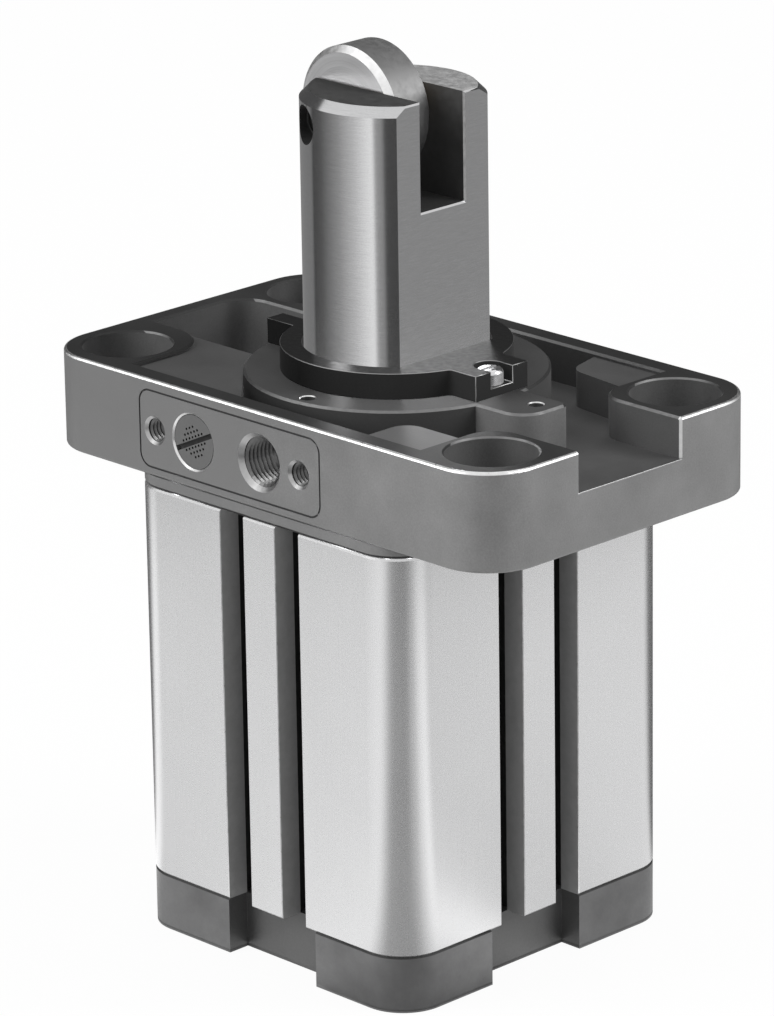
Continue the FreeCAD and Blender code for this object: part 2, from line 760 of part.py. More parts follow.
def cut_valve_face(body):
    """The line round the valve face, its two screw holes, the supply port and the vent."""
    low = flange_top - size.valve_face_drop - size.valve_face_height / 2
    left = -size.valve_face_centre - size.valve_face_length / 2
    line = sketch_on(body, "valve_line_outline", "XZ_Plane", half_side)
    for inset in (Size.of(0), size.valve_line_width):
        rectangle(line, left + inset, left + size.valve_face_length - inset, low + inset,
                  low + size.valve_face_height - inset, size.valve_face_corner - inset)
    pocket(body, "valve_line", line, size.valve_line_depth)
    mouths = (
        ("valve_screw_holes", valve_screw_reach, (-1, 1), size.valve_screw_hole,
         size.valve_screw_depth, size.valve_screw_chamfer),
        ("supply_port", port_reach, (1,), size.port_bore, size.port_depth, size.port_chamfer),
        ("vent_port", port_reach, (-1,), size.vent_bore, size.vent_depth, size.vent_chamfer),
    )
    for name, reach, sides, bore, depth, chamfer in mouths:
        sketch = sketch_on(body, f"{name}_outline", "XZ_Plane", half_side)
        for side in sides:
            circle(sketch, reach * side - size.valve_holes_centre, port_level, bore)
        pocket(body, name, sketch, depth)
        radius = bore.value / 2
        dress(body, "PartDesign::Chamfer", f"{name}_mouth", chamfer,
              lambda edge: lies_at(edge, "Y", -half_side.value) and is_circle(edge, radius))


def cut_air_passages(body):
    """The ways from the supply port to the upper chamber, and from the vent to the lower one."""
    drop_y = (rod_radius + size.rod_seal_section + bumper_inner - size.seat_fit) / 2
    port_floor = half_side - size.port_depth
    supply = sketch_on(body, "supply_passage_outline", "XZ_Plane", port_floor + size.cut_margin)
    circle(supply, supply_x, port_level, size.port_passage)
    inward = port_floor - drop_y + size.cut_margin + size.port_passage / 2
    pocket(body, "supply_passage", supply, inward)
    down = sketch_on(body, "supply_drop_outline", "XY_Plane", head_spigot_low)
    circle(down, supply_x, -drop_y, size.air_drop)
    pocket(body, "supply_drop", down, port_level - head_spigot_low, upwards=True)
    vent_floor = half_side - size.vent_depth
    vent = sketch_on(body, "vent_passage_outline", "XZ_Plane", vent_floor + size.cut_margin)
    circle(vent, -breather_x, port_level, size.breather_hole)
    vent_reach = vent_floor - breather_y + size.cut_margin + size.breather_hole
    pocket(body, "vent_passage", vent, vent_reach)
    drop = sketch_on(body, "vent_drop_outline", "XY_Plane", barrel_top)
    circle(drop, -breather_x, -breather_y, size.breather_hole)
    pocket(body, "vent_drop", drop, port_level - barrel_top, upwards=True)


# Guide ring: a flat ring whose bore has the plunger's flat, held by a screw in its lug.
def make_guide_ring():
    body = new_body("guide_ring")
    disc = sketch_on(body, "ring_outline", "XY_Plane", boss_top)
    circle(disc, 0, 0, ring_radius * 2)
    pad(body, "ring_disc", disc, size.ring_height)
    lug = sketch_on(body, "ring_lug_outline", "XY_Plane", boss_top)
    half = size.ring_lug_half
    rectangle(lug, rod_flat + size.cut_margin, ring_lug_reach, -half, half)
    pad(body, "ring_lug", lug, size.ring_height)
    dress(body, "PartDesign::Fillet", "ring_lug_roots", size.ring_root, is_ring_root)
    tab = sketch_on(body, "ring_tab_outline", "XY_Plane", boss_top)
    tab_root = ring_radius - size.cut_margin * 3
    tab_end = ring_radius + size.ring_tab_length
    rectangle(tab, -tab_end, -tab_root, -size.ring_tab_front, -size.ring_tab_back)
    pad(body, "ring_tab", tab, size.ring_height)
    bore = sketch_on(body, "ring_bore_outline", "XY_Plane", ring_top)
    d_outline(bore, rod_radius + size.ring_clearance, rod_flat + size.ring_clearance)
    pocket(body, "ring_bore", bore, size.ring_height)
    recess = sketch_on(body, "ring_recess_outline", "XY_Plane", ring_top)
    circle(recess, ring_screw_x, 0, size.ring_screw_recess)
    pocket(body, "ring_recess", recess, size.ring_screw_recess_depth)
    slot = sketch_on(body, "ring_recess_mouth_outline", "XY_Plane", ring_top)
    half_mouth = size.ring_screw_recess / 2 - size.seat_fit
    rectangle(slot, ring_screw_x, ring_lug_reach + size.cut_margin, -half_mouth, half_mouth)
    pocket(body, "ring_recess_mouth", slot, size.ring_screw_recess_depth)
    hole = sketch_on(body, "ring_hole_outline", "XY_Plane", ring_top)
    circle(hole, ring_screw_x, 0, size.ring_screw_shank + size.seat_fit * 3)
    pocket(body, "ring_hole", hole, size.ring_height)
    return body


def is_ring_root(edge):
    """The two upright inner corners where the lug leaves the ring."""
    box = edge.BoundBox
    upright = box.ZLength > size.ring_height.value / 2 and box.XLength < 1e-4
    at_lug = abs(abs(edge.CenterOfMass.y) - size.ring_lug_half.value) < 1e-4
    return upright and at_lug and edge.CenterOfMass.x < ring_radius.value


def d_outline(sketch, radius, flat):
    """A round outline with one flat on its +X side."""
    rise = (radius * radius - flat * flat).root()
    angle = math.atan2(rise.value, flat.value)
    full = Part.Circle(Vector(0, 0, 0), Vector(0, 0, 1), radius.value)
    arc = sketch.addGeometry(Part.ArcOfCircle(full, angle, 2 * math.pi - angle))
    low = Vector(flat.value, -rise.value, 0)
    high = Vector(flat.value, rise.value, 0)
    line = sketch.addGeometry(Part.LineSegment(low, high))
    sketch.addConstraint(Sketcher.Constraint("Coincident", arc, 3, -1, 1))
    sketch.addConstraint(Sketcher.Constraint("Coincident", arc, 2, line, 1))
    sketch.addConstraint(Sketcher.Constraint("Coincident", arc, 1, line, 2))
    sketch.addConstraint(Sketcher.Constraint("Vertical", line))
    hold(sketch, "DistanceX", line, 1, flat)
    index = sketch.addConstraint(Sketcher.Constraint("Radius", arc, radius.value))
    sketch.setExpression(f"Constraints[{index}]", radius.text)


def make_ring_screw():
    """Slotted round-head screw in the guide ring's lug."""
    body = new_body("guide_ring_screw")
    seat = ring_top - size.ring_screw_recess_depth
    head = size.ring_screw_head / 2
    shank = size.ring_screw_shank / 2
    top = seat + size.ring_screw_head_height
    turned(body, "ring_screw_blank", [
        (0, boss_top - size.ring_screw_length), (shank, boss_top - size.ring_screw_length),
        (shank, seat), (head, seat), (head, top, size.ring_screw_head_height / 3), (0, top)])
    slot = sketch_on(body, "ring_screw_slot_outline", "XY_Plane", top)
    half = size.ring_screw_slot / 2
    rectangle(slot, -half, half, -size.ring_screw_head, size.ring_screw_head)
    pocket(body, "ring_screw_slot_cut", slot, size.ring_screw_head_height / 2)
    body.setExpression("Placement.Base.x", ring_screw_x.text)
    return body


# Vent plug: a slotted disc with fine breathing holes, screwed flush into the valve face.
def make_vent_plug():
    body = new_body("vent_plug")
    outer = half_side - size.vent_sink
    disc = sketch_on(body, "vent_disc_outline", "XZ_Plane", outer)
    x, radius = -breather_x, size.vent_bore / 2 - size.seat_fit
    circle(disc, x, port_level, radius * 2)
    pad(body, "vent_disc", disc, size.vent_depth - size.vent_sink - size.seat_fit, downwards=True)
    along, across = size.vent_slot_turn.cosine(), size.vent_slot_turn.sine()

    def turned_spot(length, width):
        return (x + along * length - across * width, port_level + across * length + along * width)

    slot = sketch_on(body, "vent_slot_outline", "XZ_Plane", outer)
    reach, half = radius + size.cut_margin, size.vent_slot_width / 2
    outline(slot, [turned_spot(-reach, -half), turned_spot(reach, -half),
                   turned_spot(reach, half), turned_spot(-reach, half)])
    pocket(body, "vent_slot", slot, size.vent_slot_depth)
    holes = sketch_on(body, "vent_hole_outlines", "XZ_Plane", outer)
    pitch = size.vent_hole_pitch
    for row, count in ((1, 7), (2, 5), (3, 3)):
        for side in (1, -1):
            for step in range(count):
                length = pitch * (step - (count - 1) / 2)
                spot = turned_spot(length, pitch * (row * side))
                circle(holes, spot[0], spot[1], size.vent_hole)
    pocket(body, "vent_holes", holes, size.vent_slot_depth)
    return body


# Plunger rod: a hollow ground shaft with a flat, a fork for the roller and a necked lower end.
def make_plunger_rod():
    body = new_body("plunger_rod")
    low, top = piston_low - size.nut_height, rod_top
    neck, bore = neck_radius, spring_bore_radius
    bore_top = flange_top + size.spring_bore_top
    groove_low = piston_top - size.groove_land * 2 - size.static_ring
    groove_bed = neck - size.static_ring
    turned(body, "rod_blank", [
        (bore, low), (neck, low), (neck, groove_low), (groove_bed, groove_low),
        (groove_bed, groove_low + size.static_ring), (neck, groove_low + size.static_ring),
        (neck, piston_top), (rod_radius, piston_top), (rod_radius, top - size.rod_chamfer),
        (rod_radius - size.rod_chamfer, top), (0, top), (0, bore_top), (bore, bore_top)])
    flat_low = boss_top - size.rod_flat_gap
    flat = sketch_on(body, "rod_flat_outline", "XY_Plane", flat_low)
    past = rod_radius + size.cut_margin
    rectangle(flat, rod_flat, past, -past, past)
    pocket(body, "rod_flat_cut", flat, top - flat_low + size.cut_margin, upwards=True)
    fork = sketch_on(body, "fork_outline", "YZ_Plane", past)
    half = size.roller_width / 2 + size.fork_side_gap
    rectangle(fork, -half, half, fork_floor(), top + size.cut_margin)
    pocket(body, "fork_slot", fork, past * 2)
    dress(body, "PartDesign::Chamfer", "fork_edges", size.fork_chamfer, is_fork_edge)
    hole = sketch_on(body, "pin_hole_outline", "XZ_Plane", past)
    circle(hole, -size.roller_offset, roller_axis, size.pin_diameter + size.running_fit)
    pocket(body, "pin_hole", hole, past * 2)
    mouth_width = size.pin_diameter + size.pin_mouth_gap * 2
    mouth = sketch_on(body, "pin_mouth_outline", "XZ_Plane", past)
    circle(mouth, -size.roller_offset, roller_axis, mouth_width)
    mouth_depth = past - size.pin_length / 2 - size.seat_fit
    pocket(body, "pin_mouth_front", mouth, mouth_depth)
    back_mouth = sketch_on(body, "pin_back_mouth_outline", "XZ_Plane", -past)
    circle(back_mouth, -size.roller_offset, roller_axis, mouth_width)
    pocket(body, "pin_mouth_back", back_mouth, mouth_depth, upwards=True)
    dress(body, "PartDesign::Chamfer", "flat_top_break", size.edge_break, is_flat_top_edge)
    return body


def fork_floor():
    return roller_axis - size.roller_diameter / 2 - size.fork_floor_gap


def is_fork_edge(edge):
    """The fork's edges in the flat: one at each side and one at the floor."""
    half = (size.roller_width / 2 + size.fork_side_gap).value
    at_side = any(lies_at(edge, "Y", place) for place in (-half, half))
    return lies_at(edge, "X", rod_flat.value) and (at_side or lies_at(edge, "Z", fork_floor().value))


def is_flat_top_edge(edge):
    """The two short edges where the flat meets the top of the fork's ears."""
    return lies_at(edge, "Z", rod_top.value) and lies_at(edge, "X", rod_flat.value)


def make_roller():
    body = new_body("roller")
    half, radius, chamfer = size.roller_width / 2, size.roller_diameter / 2, size.roller_chamfer
    inner = size.pin_diameter / 2 + size.roller_bush_wall
    turned(body, "roller_blank", [
        (inner, -half), (radius - chamfer, -half), (radius, chamfer - half), (radius, half - chamfer),
        (radius - chamfer, half), (inner, half)])
    place_along_y(body, -size.roller_offset, roller_axis)
    return body


def make_roller_bush():
    half = size.roller_width / 2
    inner = size.pin_diameter / 2 + size.running_fit
    outer = size.pin_diameter / 2 + size.roller_bush_wall
    body = washer("roller_bush", inner, outer, -half, half)
    place_along_y(body, -size.roller_offset, roller_axis)
    return body


def make_roller_pin():
    body = new_body("roller_pin")
    half, radius, chamfer = size.pin_length / 2, size.pin_diameter / 2, size.edge_break
    turned(body, "pin_blank", [
        (0, -half), (radius - chamfer, -half), (radius, chamfer - half), (radius, half - chamfer),
        (radius - chamfer, half), (0, half)])
    place_along_y(body, -size.roller_offset, roller_axis)
    return body


def make_roller_washers():
    """Two thin thrust washers between the roller and the fork, as one group of solids."""
    inner = size.pin_diameter / 2 + size.seat_fit
    gap = (size.fork_side_gap - size.washer_thickness) / 2
    near = size.roller_width / 2 + gap
    pieces = []
    for side in (1, -1):
        ring = doc.addObject("Part::Cylinder", f"washer_disc_{len(pieces) + 1}")
        ring.setExpression("Radius", (size.pin_diameter / 2 + size.washer_width).text)
        eye = doc.addObject("Part::Cylinder", f"washer_eye_{len(pieces) + 1}")
        eye.setExpression("Radius", inner.text)
        for part in (ring, eye):
            part.setExpression("Height", size.washer_thickness.text)
            lay_on_y(part, near * side)
            part.Placement.Rotation = Rotation(Vector(1, 0, 0), -90 * side)
        cut = doc.addObject("Part::Cut", f"washer_{len(pieces) + 1}")
        cut.Base, cut.Tool = ring, eye
        pieces.append(cut)
    group = doc.addObject("Part::Compound", "roller_washers")
    group.Links = pieces
    group.Label = "roller_washers"
    return group


def lay_on_y(part, y):
    part.setExpression("Placement.Base.x", (-size.roller_offset).text)
    part.setExpression("Placement.Base.y", y.text)
    part.setExpression("Placement.Base.z", roller_axis.text)


# Piston with three grooves, and the rings that lie in them.
def piston_levels():
    """The three grooves' lower and upper levels, from the top: seal, magnet and guide band."""
    seal_top = piston_top - size.groove_land
    seal_low = seal_top - size.piston_seal_groove
    magnet_top = seal_low - size.groove_land
    magnet_low = magnet_top - size.magnet_groove
    band_top = magnet_low - size.groove_land
    band_low = band_top - size.band_groove
    return (seal_low, seal_top), (magnet_low, magnet_top), (band_low, band_top)


def make_piston():
    body = new_body("piston")
    outer = size.bore / 2 - size.piston_clearance
    inner = neck_radius + size.running_fit
    turned(body, "piston_blank", ring_section(inner, outer, piston_low, piston_top))
    depths = (size.piston_seal_section, size.magnet_section, size.band_section)
    for number, ((low, top), depth) in enumerate(zip(piston_levels(), depths), start=1):
        section = ring_section(size.bore / 2 - depth, outer + size.cut_margin, low, top)
        turned(body, f"piston_groove_{number}", section, cut=True)
    return body


def make_piston_seal():
    """Lip seal, open towards the upper chamber."""
    body = new_body("piston_seal")
    low, top = piston_levels()[0]
    low, top = low + size.seat_fit, top - size.seat_fit
    bed = size.bore / 2 - size.piston_seal_section + size.seat_fit
    wall = size.bore / 2 - size.running_fit
    heel = wall - size.piston_clearance * 2
    middle = (bed + wall) / 2
    turned(body, "piston_seal_ring", [
        (bed, low), (heel, low), (wall, top), (wall - size.piston_clearance * 2, top),
        (middle, (low + top) / 2), (bed, top)])
    return body


def make_magnet():
    low, top = piston_levels()[1]
    fit = size.seat_fit
    bed = size.bore / 2 - size.magnet_section + fit
    outer = size.bore / 2 - size.piston_clearance * 2
    return washer("piston_magnet", bed, outer, low + fit, top - fit)


def make_guide_band():
    low, top = piston_levels()[2]
    fit = size.seat_fit
    bed = size.bore / 2 - size.band_section + fit
    return washer("guide_band", bed, size.bore / 2 - size.running_fit, low + fit, top - fit)


def make_static_ring():
    """Round-section ring that seals the piston on the rod's neck."""
    half = size.static_ring / 2 - size.running_fit
    level = piston_top - size.groove_land * 2 - size.static_ring / 2
    return torus("piston_oring", neck_radius - size.static_ring / 2, half, level)


def torus(label, radius, section, level):
    ring = doc.addObject("Part::Torus", label)
    ring.Label = label
    ring.setExpression("Radius1", radius.text)
    ring.setExpression("Radius2", section.text)
    ring.setExpression("Placement.Base.z", level.text)
    return ring


def make_nut():
    """Slotted ring nut that clamps the piston on the rod's neck."""
    body = new_body("piston_nut")
    inner, outer = neck_radius + size.running_fit, neck_radius + size.nut_wall
    low = piston_low - size.nut_height
    turned(body, "nut_ring", ring_section(inner, outer, low, piston_low))
    slot = sketch_on(body, "nut_slot_outline", "XY_Plane", low)
    half = size.nut_slot / 2
    rectangle(slot, (inner + outer) / 2, outer + size.cut_margin, -half, half)
    cut = pocket(body, "nut_slot_cut", slot, size.nut_height / 2, upwards=True)
    repeat_round(body, "nut_slots", [cut], 4)
    return body


# Bush, seals and bumpers of the housing.
def make_rod_bush():
    inner = rod_radius + size.running_fit
    low = head_spigot_low + size.rod_seal_land * 2 + size.rod_seal_height
    outer = rod_radius + size.bush_wall - size.running_fit
    return washer("rod_bush", inner, outer, low, boss_top - size.bush_top_inset)


def make_rod_seal():
    """Lip seal on the rod, open towards the pressure below it."""
    body = new_body("rod_seal")
    low = head_spigot_low + size.rod_seal_land + size.seat_fit
    top = low + size.rod_seal_height - size.seat_fit * 2
    bed = rod_radius + size.rod_seal_section - size.seat_fit
    rod = rod_radius + size.running_fit
    heel = rod + size.piston_clearance * 2
    turned(body, "rod_seal_ring", [
        (rod, low), (heel, low), ((heel + bed) / 2, (low + top) / 2), (bed, low), (bed, top),
        (heel, top)])
    return body


def make_orings():
    """The two rings that seal the head and the cap in the barrel."""
    depth = size.oring_groove_depth
    section = depth / 2 - size.running_fit
    radius = spigot_radius - depth / 2
    half = size.oring_groove_width / 2
    return [
        torus("head_oring", radius, section, barrel_top - size.oring_inset - half),
        torus("cap_oring", radius, section, barrel_low + size.oring_inset + half),
    ]


def make_bumpers():
    upper_low = head_spigot_low - size.bumper_proud
    lower_top = cap_spigot_top + size.bumper_proud
    return [
        washer("upper_bumper", bumper_inner, bumper_outer, upper_low,
               upper_low + size.bumper_height),
        washer("lower_bumper", bumper_inner, bumper_outer, lower_top - size.bumper_height, lower_top),
    ]


def make_tie_screws():
    """Four socket screws through the end cap and the barrel, as one group of solids."""
    blank = new_body("tie_screw")
    seat = size.tie_recess_depth
    tip = barrel_top + size.tie_engagement
    head, shank, chamfer = size.tie_head / 2, size.tie_screw / 2, size.edge_break
    turned(blank, "tie_screw_blank", [
        (0, seat - size.tie_head_height), (head - chamfer, seat - size.tie_head_height),
        (head, seat - size.tie_head_height + chamfer), (head, seat), (shank, seat),
        (shank, tip), (0, tip)])
    socket = sketch_on(blank, "tie_socket_outline", "XY_Plane", seat - size.tie_head_height)
    across = size.tie_socket / math.sqrt(3)
    outline(socket, [(across * math.cos(math.radians(60 * n)), across * math.sin(math.radians(60 * n)))
                     for n in range(6)])
    pocket(blank, "tie_socket_cut", socket, size.tie_socket_depth, upwards=True)
    doc.recompute()
    links = []
    for number, (x, y) in enumerate(tie_corners(), start=1):
        link = doc.addObject("App::Link", f"tie_screw_{number}")
        link.LinkedObject = blank
        link.setExpression("Placement.Base.x", x.text)
        link.setExpression("Placement.Base.y", y.text)
        links.append(link)
    group = doc.addObject("Part::Compound", "tie_screws")
    group.Links = links
    group.Label = "tie_screws"
    return group


# Return spring and the seat that centres it in the end cap.
def make_spring_seat():
    body = new_body("spring_seat")
    low, outer = size.cap_floor, spring_outer() + size.seat_rim
    pilot = spring_outer() - size.spring_wire - size.seat_pilot_gap
    top = low + size.seat_thickness
    turned(body, "seat_blank", [
        (0, low), (outer, low), (outer, top), (pilot, top),
        (pilot, top + size.seat_pilot_height), (0, top + size.seat_pilot_height)])
    return body


def spring_outer():
    """The spring's outer radius inside the plunger's bore."""
    return spring_bore_radius - size.spring_gap


def make_return_spring():
    """Compression spring from the seat to the top of the plunger's bore."""
    low = size.cap_floor + size.seat_thickness
    top = flange_top + size.spring_bore_top
    wire = size.spring_wire
    coil_radius = spring_outer() - wire / 2
    helix = doc.addObject("Part::Helix", "spring_line")
    helix.setExpression("Radius", coil_radius.text)
    rise = top - low - wire - size.seat_fit * 2
    helix.setExpression("Height", rise.text)
    helix.setExpression("Pitch", (rise / size.spring_turns).text)
    helix.setExpression("Placement.Base.z", (low + wire / 2 + size.seat_fit).text)
    section = doc.addObject("Part::Circle", "spring_section")
    section.setExpression("Radius", (wire / 2).text)
    section.Placement.Rotation = Rotation(Vector(1, 0, 0), 90)
    section.setExpression("Placement.Base.x", coil_radius.text)
    section.setExpression("Placement.Base.z", (low + wire / 2 + size.seat_fit).text)
    doc.recompute()
    sweep = doc.addObject("Part::Sweep", "return_spring")
    sweep.Sections = [section]
    sweep.Spine = (helix, [f"Edge{n + 1}" for n in range(len(helix.Shape.Edges))])
    sweep.Solid = True
    sweep.Frenet = True
    sweep.Label = "return_spring"
    return sweep


def check_document():
    """Stops if any object failed, or if a cut took nothing away."""
    doc.recompute()
    for item in doc.Objects:
        if "Invalid" in item.State or "Error" in item.State:
            raise ValueError(f"{item.Name} has failed: {item.State}")
    for body in doc.findObjects("PartDesign::Body"):
        volume = None
        for feature in body.Group:
            if not feature.isDerivedFrom("PartDesign::Feature"):
                continue
            last, volume = volume, feature.Shape.Volume
            cuts = feature.TypeId in ("PartDesign::Pocket", "PartDesign::Groove")
            if cuts and volume > last - 1e-6:
                raise ValueError(f"{feature.Name} cuts nothing")


def export(pieces):
    os.makedirs("parts", exist_ok=True)
    for piece in pieces:
        shape = piece.Shape
        if shape.isNull() or not shape.isValid():
            raise ValueError(f"{piece.Label} has no valid shape")
    for piece in pieces:
        piece.Shape.exportStep(f"parts/{piece.Label}.step")
        solids, volume = len(piece.Shape.Solids), piece.Shape.Volume
        print(f"{piece.Label}: {solids} solid, {volume:.1f} mm3")


pieces = [
    make_end_cap(),
    make_barrel(),
    make_flange_head(),
    make_guide_ring(),
    make_ring_screw(),
    make_vent_plug(),
    make_rod_bush(),
    make_rod_seal(),
    *make_orings(),
    *make_bumpers(),
    make_tie_screws(),
    make_spring_seat(),
    make_return_spring(),
    make_plunger_rod(),
    make_piston(),
    make_piston_seal(),
    make_magnet(),
    make_guide_band(),
    make_static_ring(),
    make_nut(),
    make_roller(),
    make_roller_bush(),
    make_roller_pin(),
    make_roller_washers(),
]
check_document()
export(pieces)
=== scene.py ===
import json
import math

import bmesh
import bpy
from mathutils import Matrix, Vector


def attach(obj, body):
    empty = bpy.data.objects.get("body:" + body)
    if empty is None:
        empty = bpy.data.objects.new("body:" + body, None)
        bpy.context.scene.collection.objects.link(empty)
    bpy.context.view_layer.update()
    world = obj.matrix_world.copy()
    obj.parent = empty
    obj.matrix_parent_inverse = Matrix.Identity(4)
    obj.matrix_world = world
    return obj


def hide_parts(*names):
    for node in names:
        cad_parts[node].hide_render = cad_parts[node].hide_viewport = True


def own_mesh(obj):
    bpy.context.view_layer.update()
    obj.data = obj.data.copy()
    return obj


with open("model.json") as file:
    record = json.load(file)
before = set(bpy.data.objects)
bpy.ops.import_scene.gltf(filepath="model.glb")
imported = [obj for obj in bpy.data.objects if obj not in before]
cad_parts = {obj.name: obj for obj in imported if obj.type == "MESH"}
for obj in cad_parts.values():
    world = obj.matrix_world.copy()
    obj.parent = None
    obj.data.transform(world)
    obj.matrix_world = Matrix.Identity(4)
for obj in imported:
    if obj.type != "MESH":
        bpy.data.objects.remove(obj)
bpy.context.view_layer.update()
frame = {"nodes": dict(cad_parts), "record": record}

# Levels and places on the part, in metres: X to the right, Y to the back, Z up.
FLANGE_TOP = 0.1016
BOSS_TOP = 0.1021
POCKET_LOW = 0.0905
BARREL_LOW = 0.0102
BARREL_TOP = 0.0818
FRONT_FACE = -0.0335
PORT_LEVEL = 0.0925
SUPPLY_X = 0.0005
VENT_X = -0.0159
LEFT_SCREW_X = -0.0255
RIGHT_SCREW_X = 0.0101
BOSS_HOLES = ((0.0332, 0.0), (0.0024, -0.0236))
ROLLER_X = -0.0068
ROLLER_Z = 0.1463

# Reaches from a centre, in metres.
BOSS_REACH = 0.0267
BARREL_CORNER_REACH = 0.0325
PORT_REACH = 0.0053
SCREW_REACH = 0.0028
BOSS_HOLE_REACH = 0.00135
ROLLER_RIM_REACH = 0.0103
PIN_HOLE_REACH = 0.0036

# Depths in the valve face: just under it, its line, the mouths of its holes and the end of the threads.
UNDER_FACE = FRONT_FACE + 0.00001
LINE_END = FRONT_FACE + 0.0003
MOUTH_END = FRONT_FACE + 0.0009
THREAD_END = FRONT_FACE + 0.0082

# Levels closer than this are the same, and face angles below this are smooth.
HAIR = 0.00005
SMOOTH_ANGLE = math.radians(30)

# Turn of the mats and the card towards the camera's side, in degrees.
VIEW_TURN = 45.65

# The kinds of rays that see the plain white of the studio.
SEEN_WHITE = ("Is Camera Ray", "Is Glossy Ray", "Is Transmission Ray")


def grey(tone):
    return (tone, tone, tone)


# Camera, lights and floor.
def set_camera():
    """The photograph's view: a long lens, from the front right and a little above."""
    yaw, pitch, roll = (math.radians(degrees) for degrees in (45.646, 18.67, -0.88))
    place = Vector((0.6754, -0.6633, 0.39595))
    back = Vector((math.sin(yaw) * math.cos(pitch), -math.cos(yaw) * math.cos(pitch), math.sin(pitch)))
    right = Vector((math.cos(yaw), math.sin(yaw), 0))
    up = back.cross(right)
    turned_right = right * math.cos(roll) + up * math.sin(roll)
    turned_up = up * math.cos(roll) - right * math.sin(roll)
    data = bpy.data.cameras.new("photo_camera")
    data.lens = 204.11
    data.sensor_width = 36
    data.clip_start = 0.05
    data.clip_end = 50
    camera = bpy.data.objects.new("photo_camera", data)
    turn = Matrix((turned_right, turned_up, back)).transposed().to_4x4()
    camera.matrix_world = Matrix.Translation(place) @ turn
    bpy.context.scene.collection.objects.link(camera)
    bpy.context.scene.camera = camera


def set_lamp(name, place, aim, width, height, watts):
    data = bpy.data.lights.new(name, "AREA")
    data.shape = "RECTANGLE"
    data.size = width
    data.size_y = height
    data.energy = watts
    lamp = bpy.data.objects.new(name, data)
    direction = Vector(aim) - Vector(place)
    turn = direction.to_track_quat("-Z", "Y").to_matrix().to_4x4()
    lamp.matrix_world = Matrix.Translation(place) @ turn
    bpy.context.scene.collection.objects.link(lamp)


def set_lights():
    """Two wide lamps far to the sides, and a weak one above the back."""
    aim = (0, 0, 0.08)
    set_lamp("right_light", (1.05, 0.66, 0.75), aim, width=0.6, height=0.9, watts=11)
    set_lamp("left_light", (-0.62, -1.12, 0.7), aim, width=0.6, height=0.9, watts=13)
    set_lamp("high_light", (-0.5, 0.6, 1.2), aim, width=0.9, height=0.6, watts=3)


def glow(name):
    """A bare emission material for things that only reflections see."""
    material = bpy.data.materials.new(name)
    material.use_nodes = True
    nodes = material.node_tree.nodes
    nodes.clear()
    output = nodes.new("ShaderNodeOutputMaterial")
    light = nodes.new("ShaderNodeEmission")
    material.node_tree.links.new(light.outputs[0], output.inputs["Surface"])
    return material, light


def hide_from_all_but_gloss(piece):
    piece.visible_camera = False
    piece.visible_diffuse = False
    piece.visible_shadow = False
    piece.visible_transmission = False


def set_mat(name, radius, level, tones):
    """A round mat on the floor whose tone depends on the turn from the camera's side."""
    material, light = glow(name)
    nodes, links = material.node_tree.nodes, material.node_tree.links
    place = nodes.new("ShaderNodeTexCoord")
    turn = nodes.new("ShaderNodeVectorRotate")
    turn.rotation_type = "Z_AXIS"
    turn.inputs["Angle"].default_value = math.radians(90 - VIEW_TURN)
    links.new(place.outputs["Object"], turn.inputs["Vector"])
    angle = nodes.new("ShaderNodeTexGradient")
    angle.gradient_type = "RADIAL"
    links.new(turn.outputs[0], angle.inputs["Vector"])
    ramp = nodes.new("ShaderNodeValToRGB")
    links.new(angle.outputs["Fac"], ramp.inputs["Fac"])
    stops = ramp.color_ramp.elements
    ready = len(stops)
    for number, (degrees, tone) in enumerate(tones):
        where = (degrees + 180) / 360
        stop = stops[number] if number < ready else stops.new(where)
        stop.position = where
        stop.color = (*grey(tone), 1)
    links.new(ramp.outputs["Color"], light.inputs["Color"])
    light.inputs["Strength"].default_value = 1.6
    bm = bmesh.new()
    bmesh.ops.create_circle(bm, cap_ends=True, segments=96, radius=radius)
    bmesh.ops.translate(bm, verts=bm.verts, vec=(0, 0, level))
    hide_from_all_but_gloss(add_piece(name, bm, material))


def set_far_card():
    """A dark card behind the part, which the level faces reflect."""
    material, light = glow("card_far")
    light.inputs["Color"].default_value = (*grey(0.1), 1)
    width, height = 2.4, 1.9
    bm = bmesh.new()
    bmesh.ops.create_grid(bm, x_segments=1, y_segments=1, size=0.5)
    bmesh.ops.scale(bm, verts=bm.verts, vec=(width, height, 1))
    bmesh.ops.rotate(bm, verts=bm.verts, matrix=Matrix.Rotation(math.pi / 2, 3, "X"))
    bmesh.ops.rotate(bm, verts=bm.verts, matrix=Matrix.Rotation(math.radians(VIEW_TURN), 3, "Z"))
    bmesh.ops.translate(bm, verts=bm.verts, vec=(-0.57, 0.56, 0.97))
    hide_from_all_but_gloss(add_piece("card_far", bm, material))


def set_reflections():
    """Tones round the part, in turns from the camera's side: minus is to the left."""
    set_mat("near_mat", 0.305, 0.0006, (
        (-180, 0.01), (-127, 0.02), (-117, 0.9), (-103, 0.85), (-95, 0.54), (-78, 0.62), (-36, 0.8),
        (-18, 0.22), (12, 0.2), (30, 0.6), (44, 0.93), (50, 0.88), (58, 0.54), (76, 0.55), (84, 0.64),
        (103, 0.66), (109, 0.35), (117, 0.04), (180, 0.01)))
    set_mat("far_mat", 1.4, 0.0003, (
        (-180, 0.17), (-121, 0.17), (-117, 0.05), (-100, 0.085), (-71, 0.25), (-50, 0.46), (-31, 0.72),
        (-26, 0.8), (-22, 0.28), (-14, 0.24), (-10, 0.055), (6, 0.05), (30, 0.05), (44, 0.22),
        (60, 0.24), (180, 0.24)))
    set_far_card()


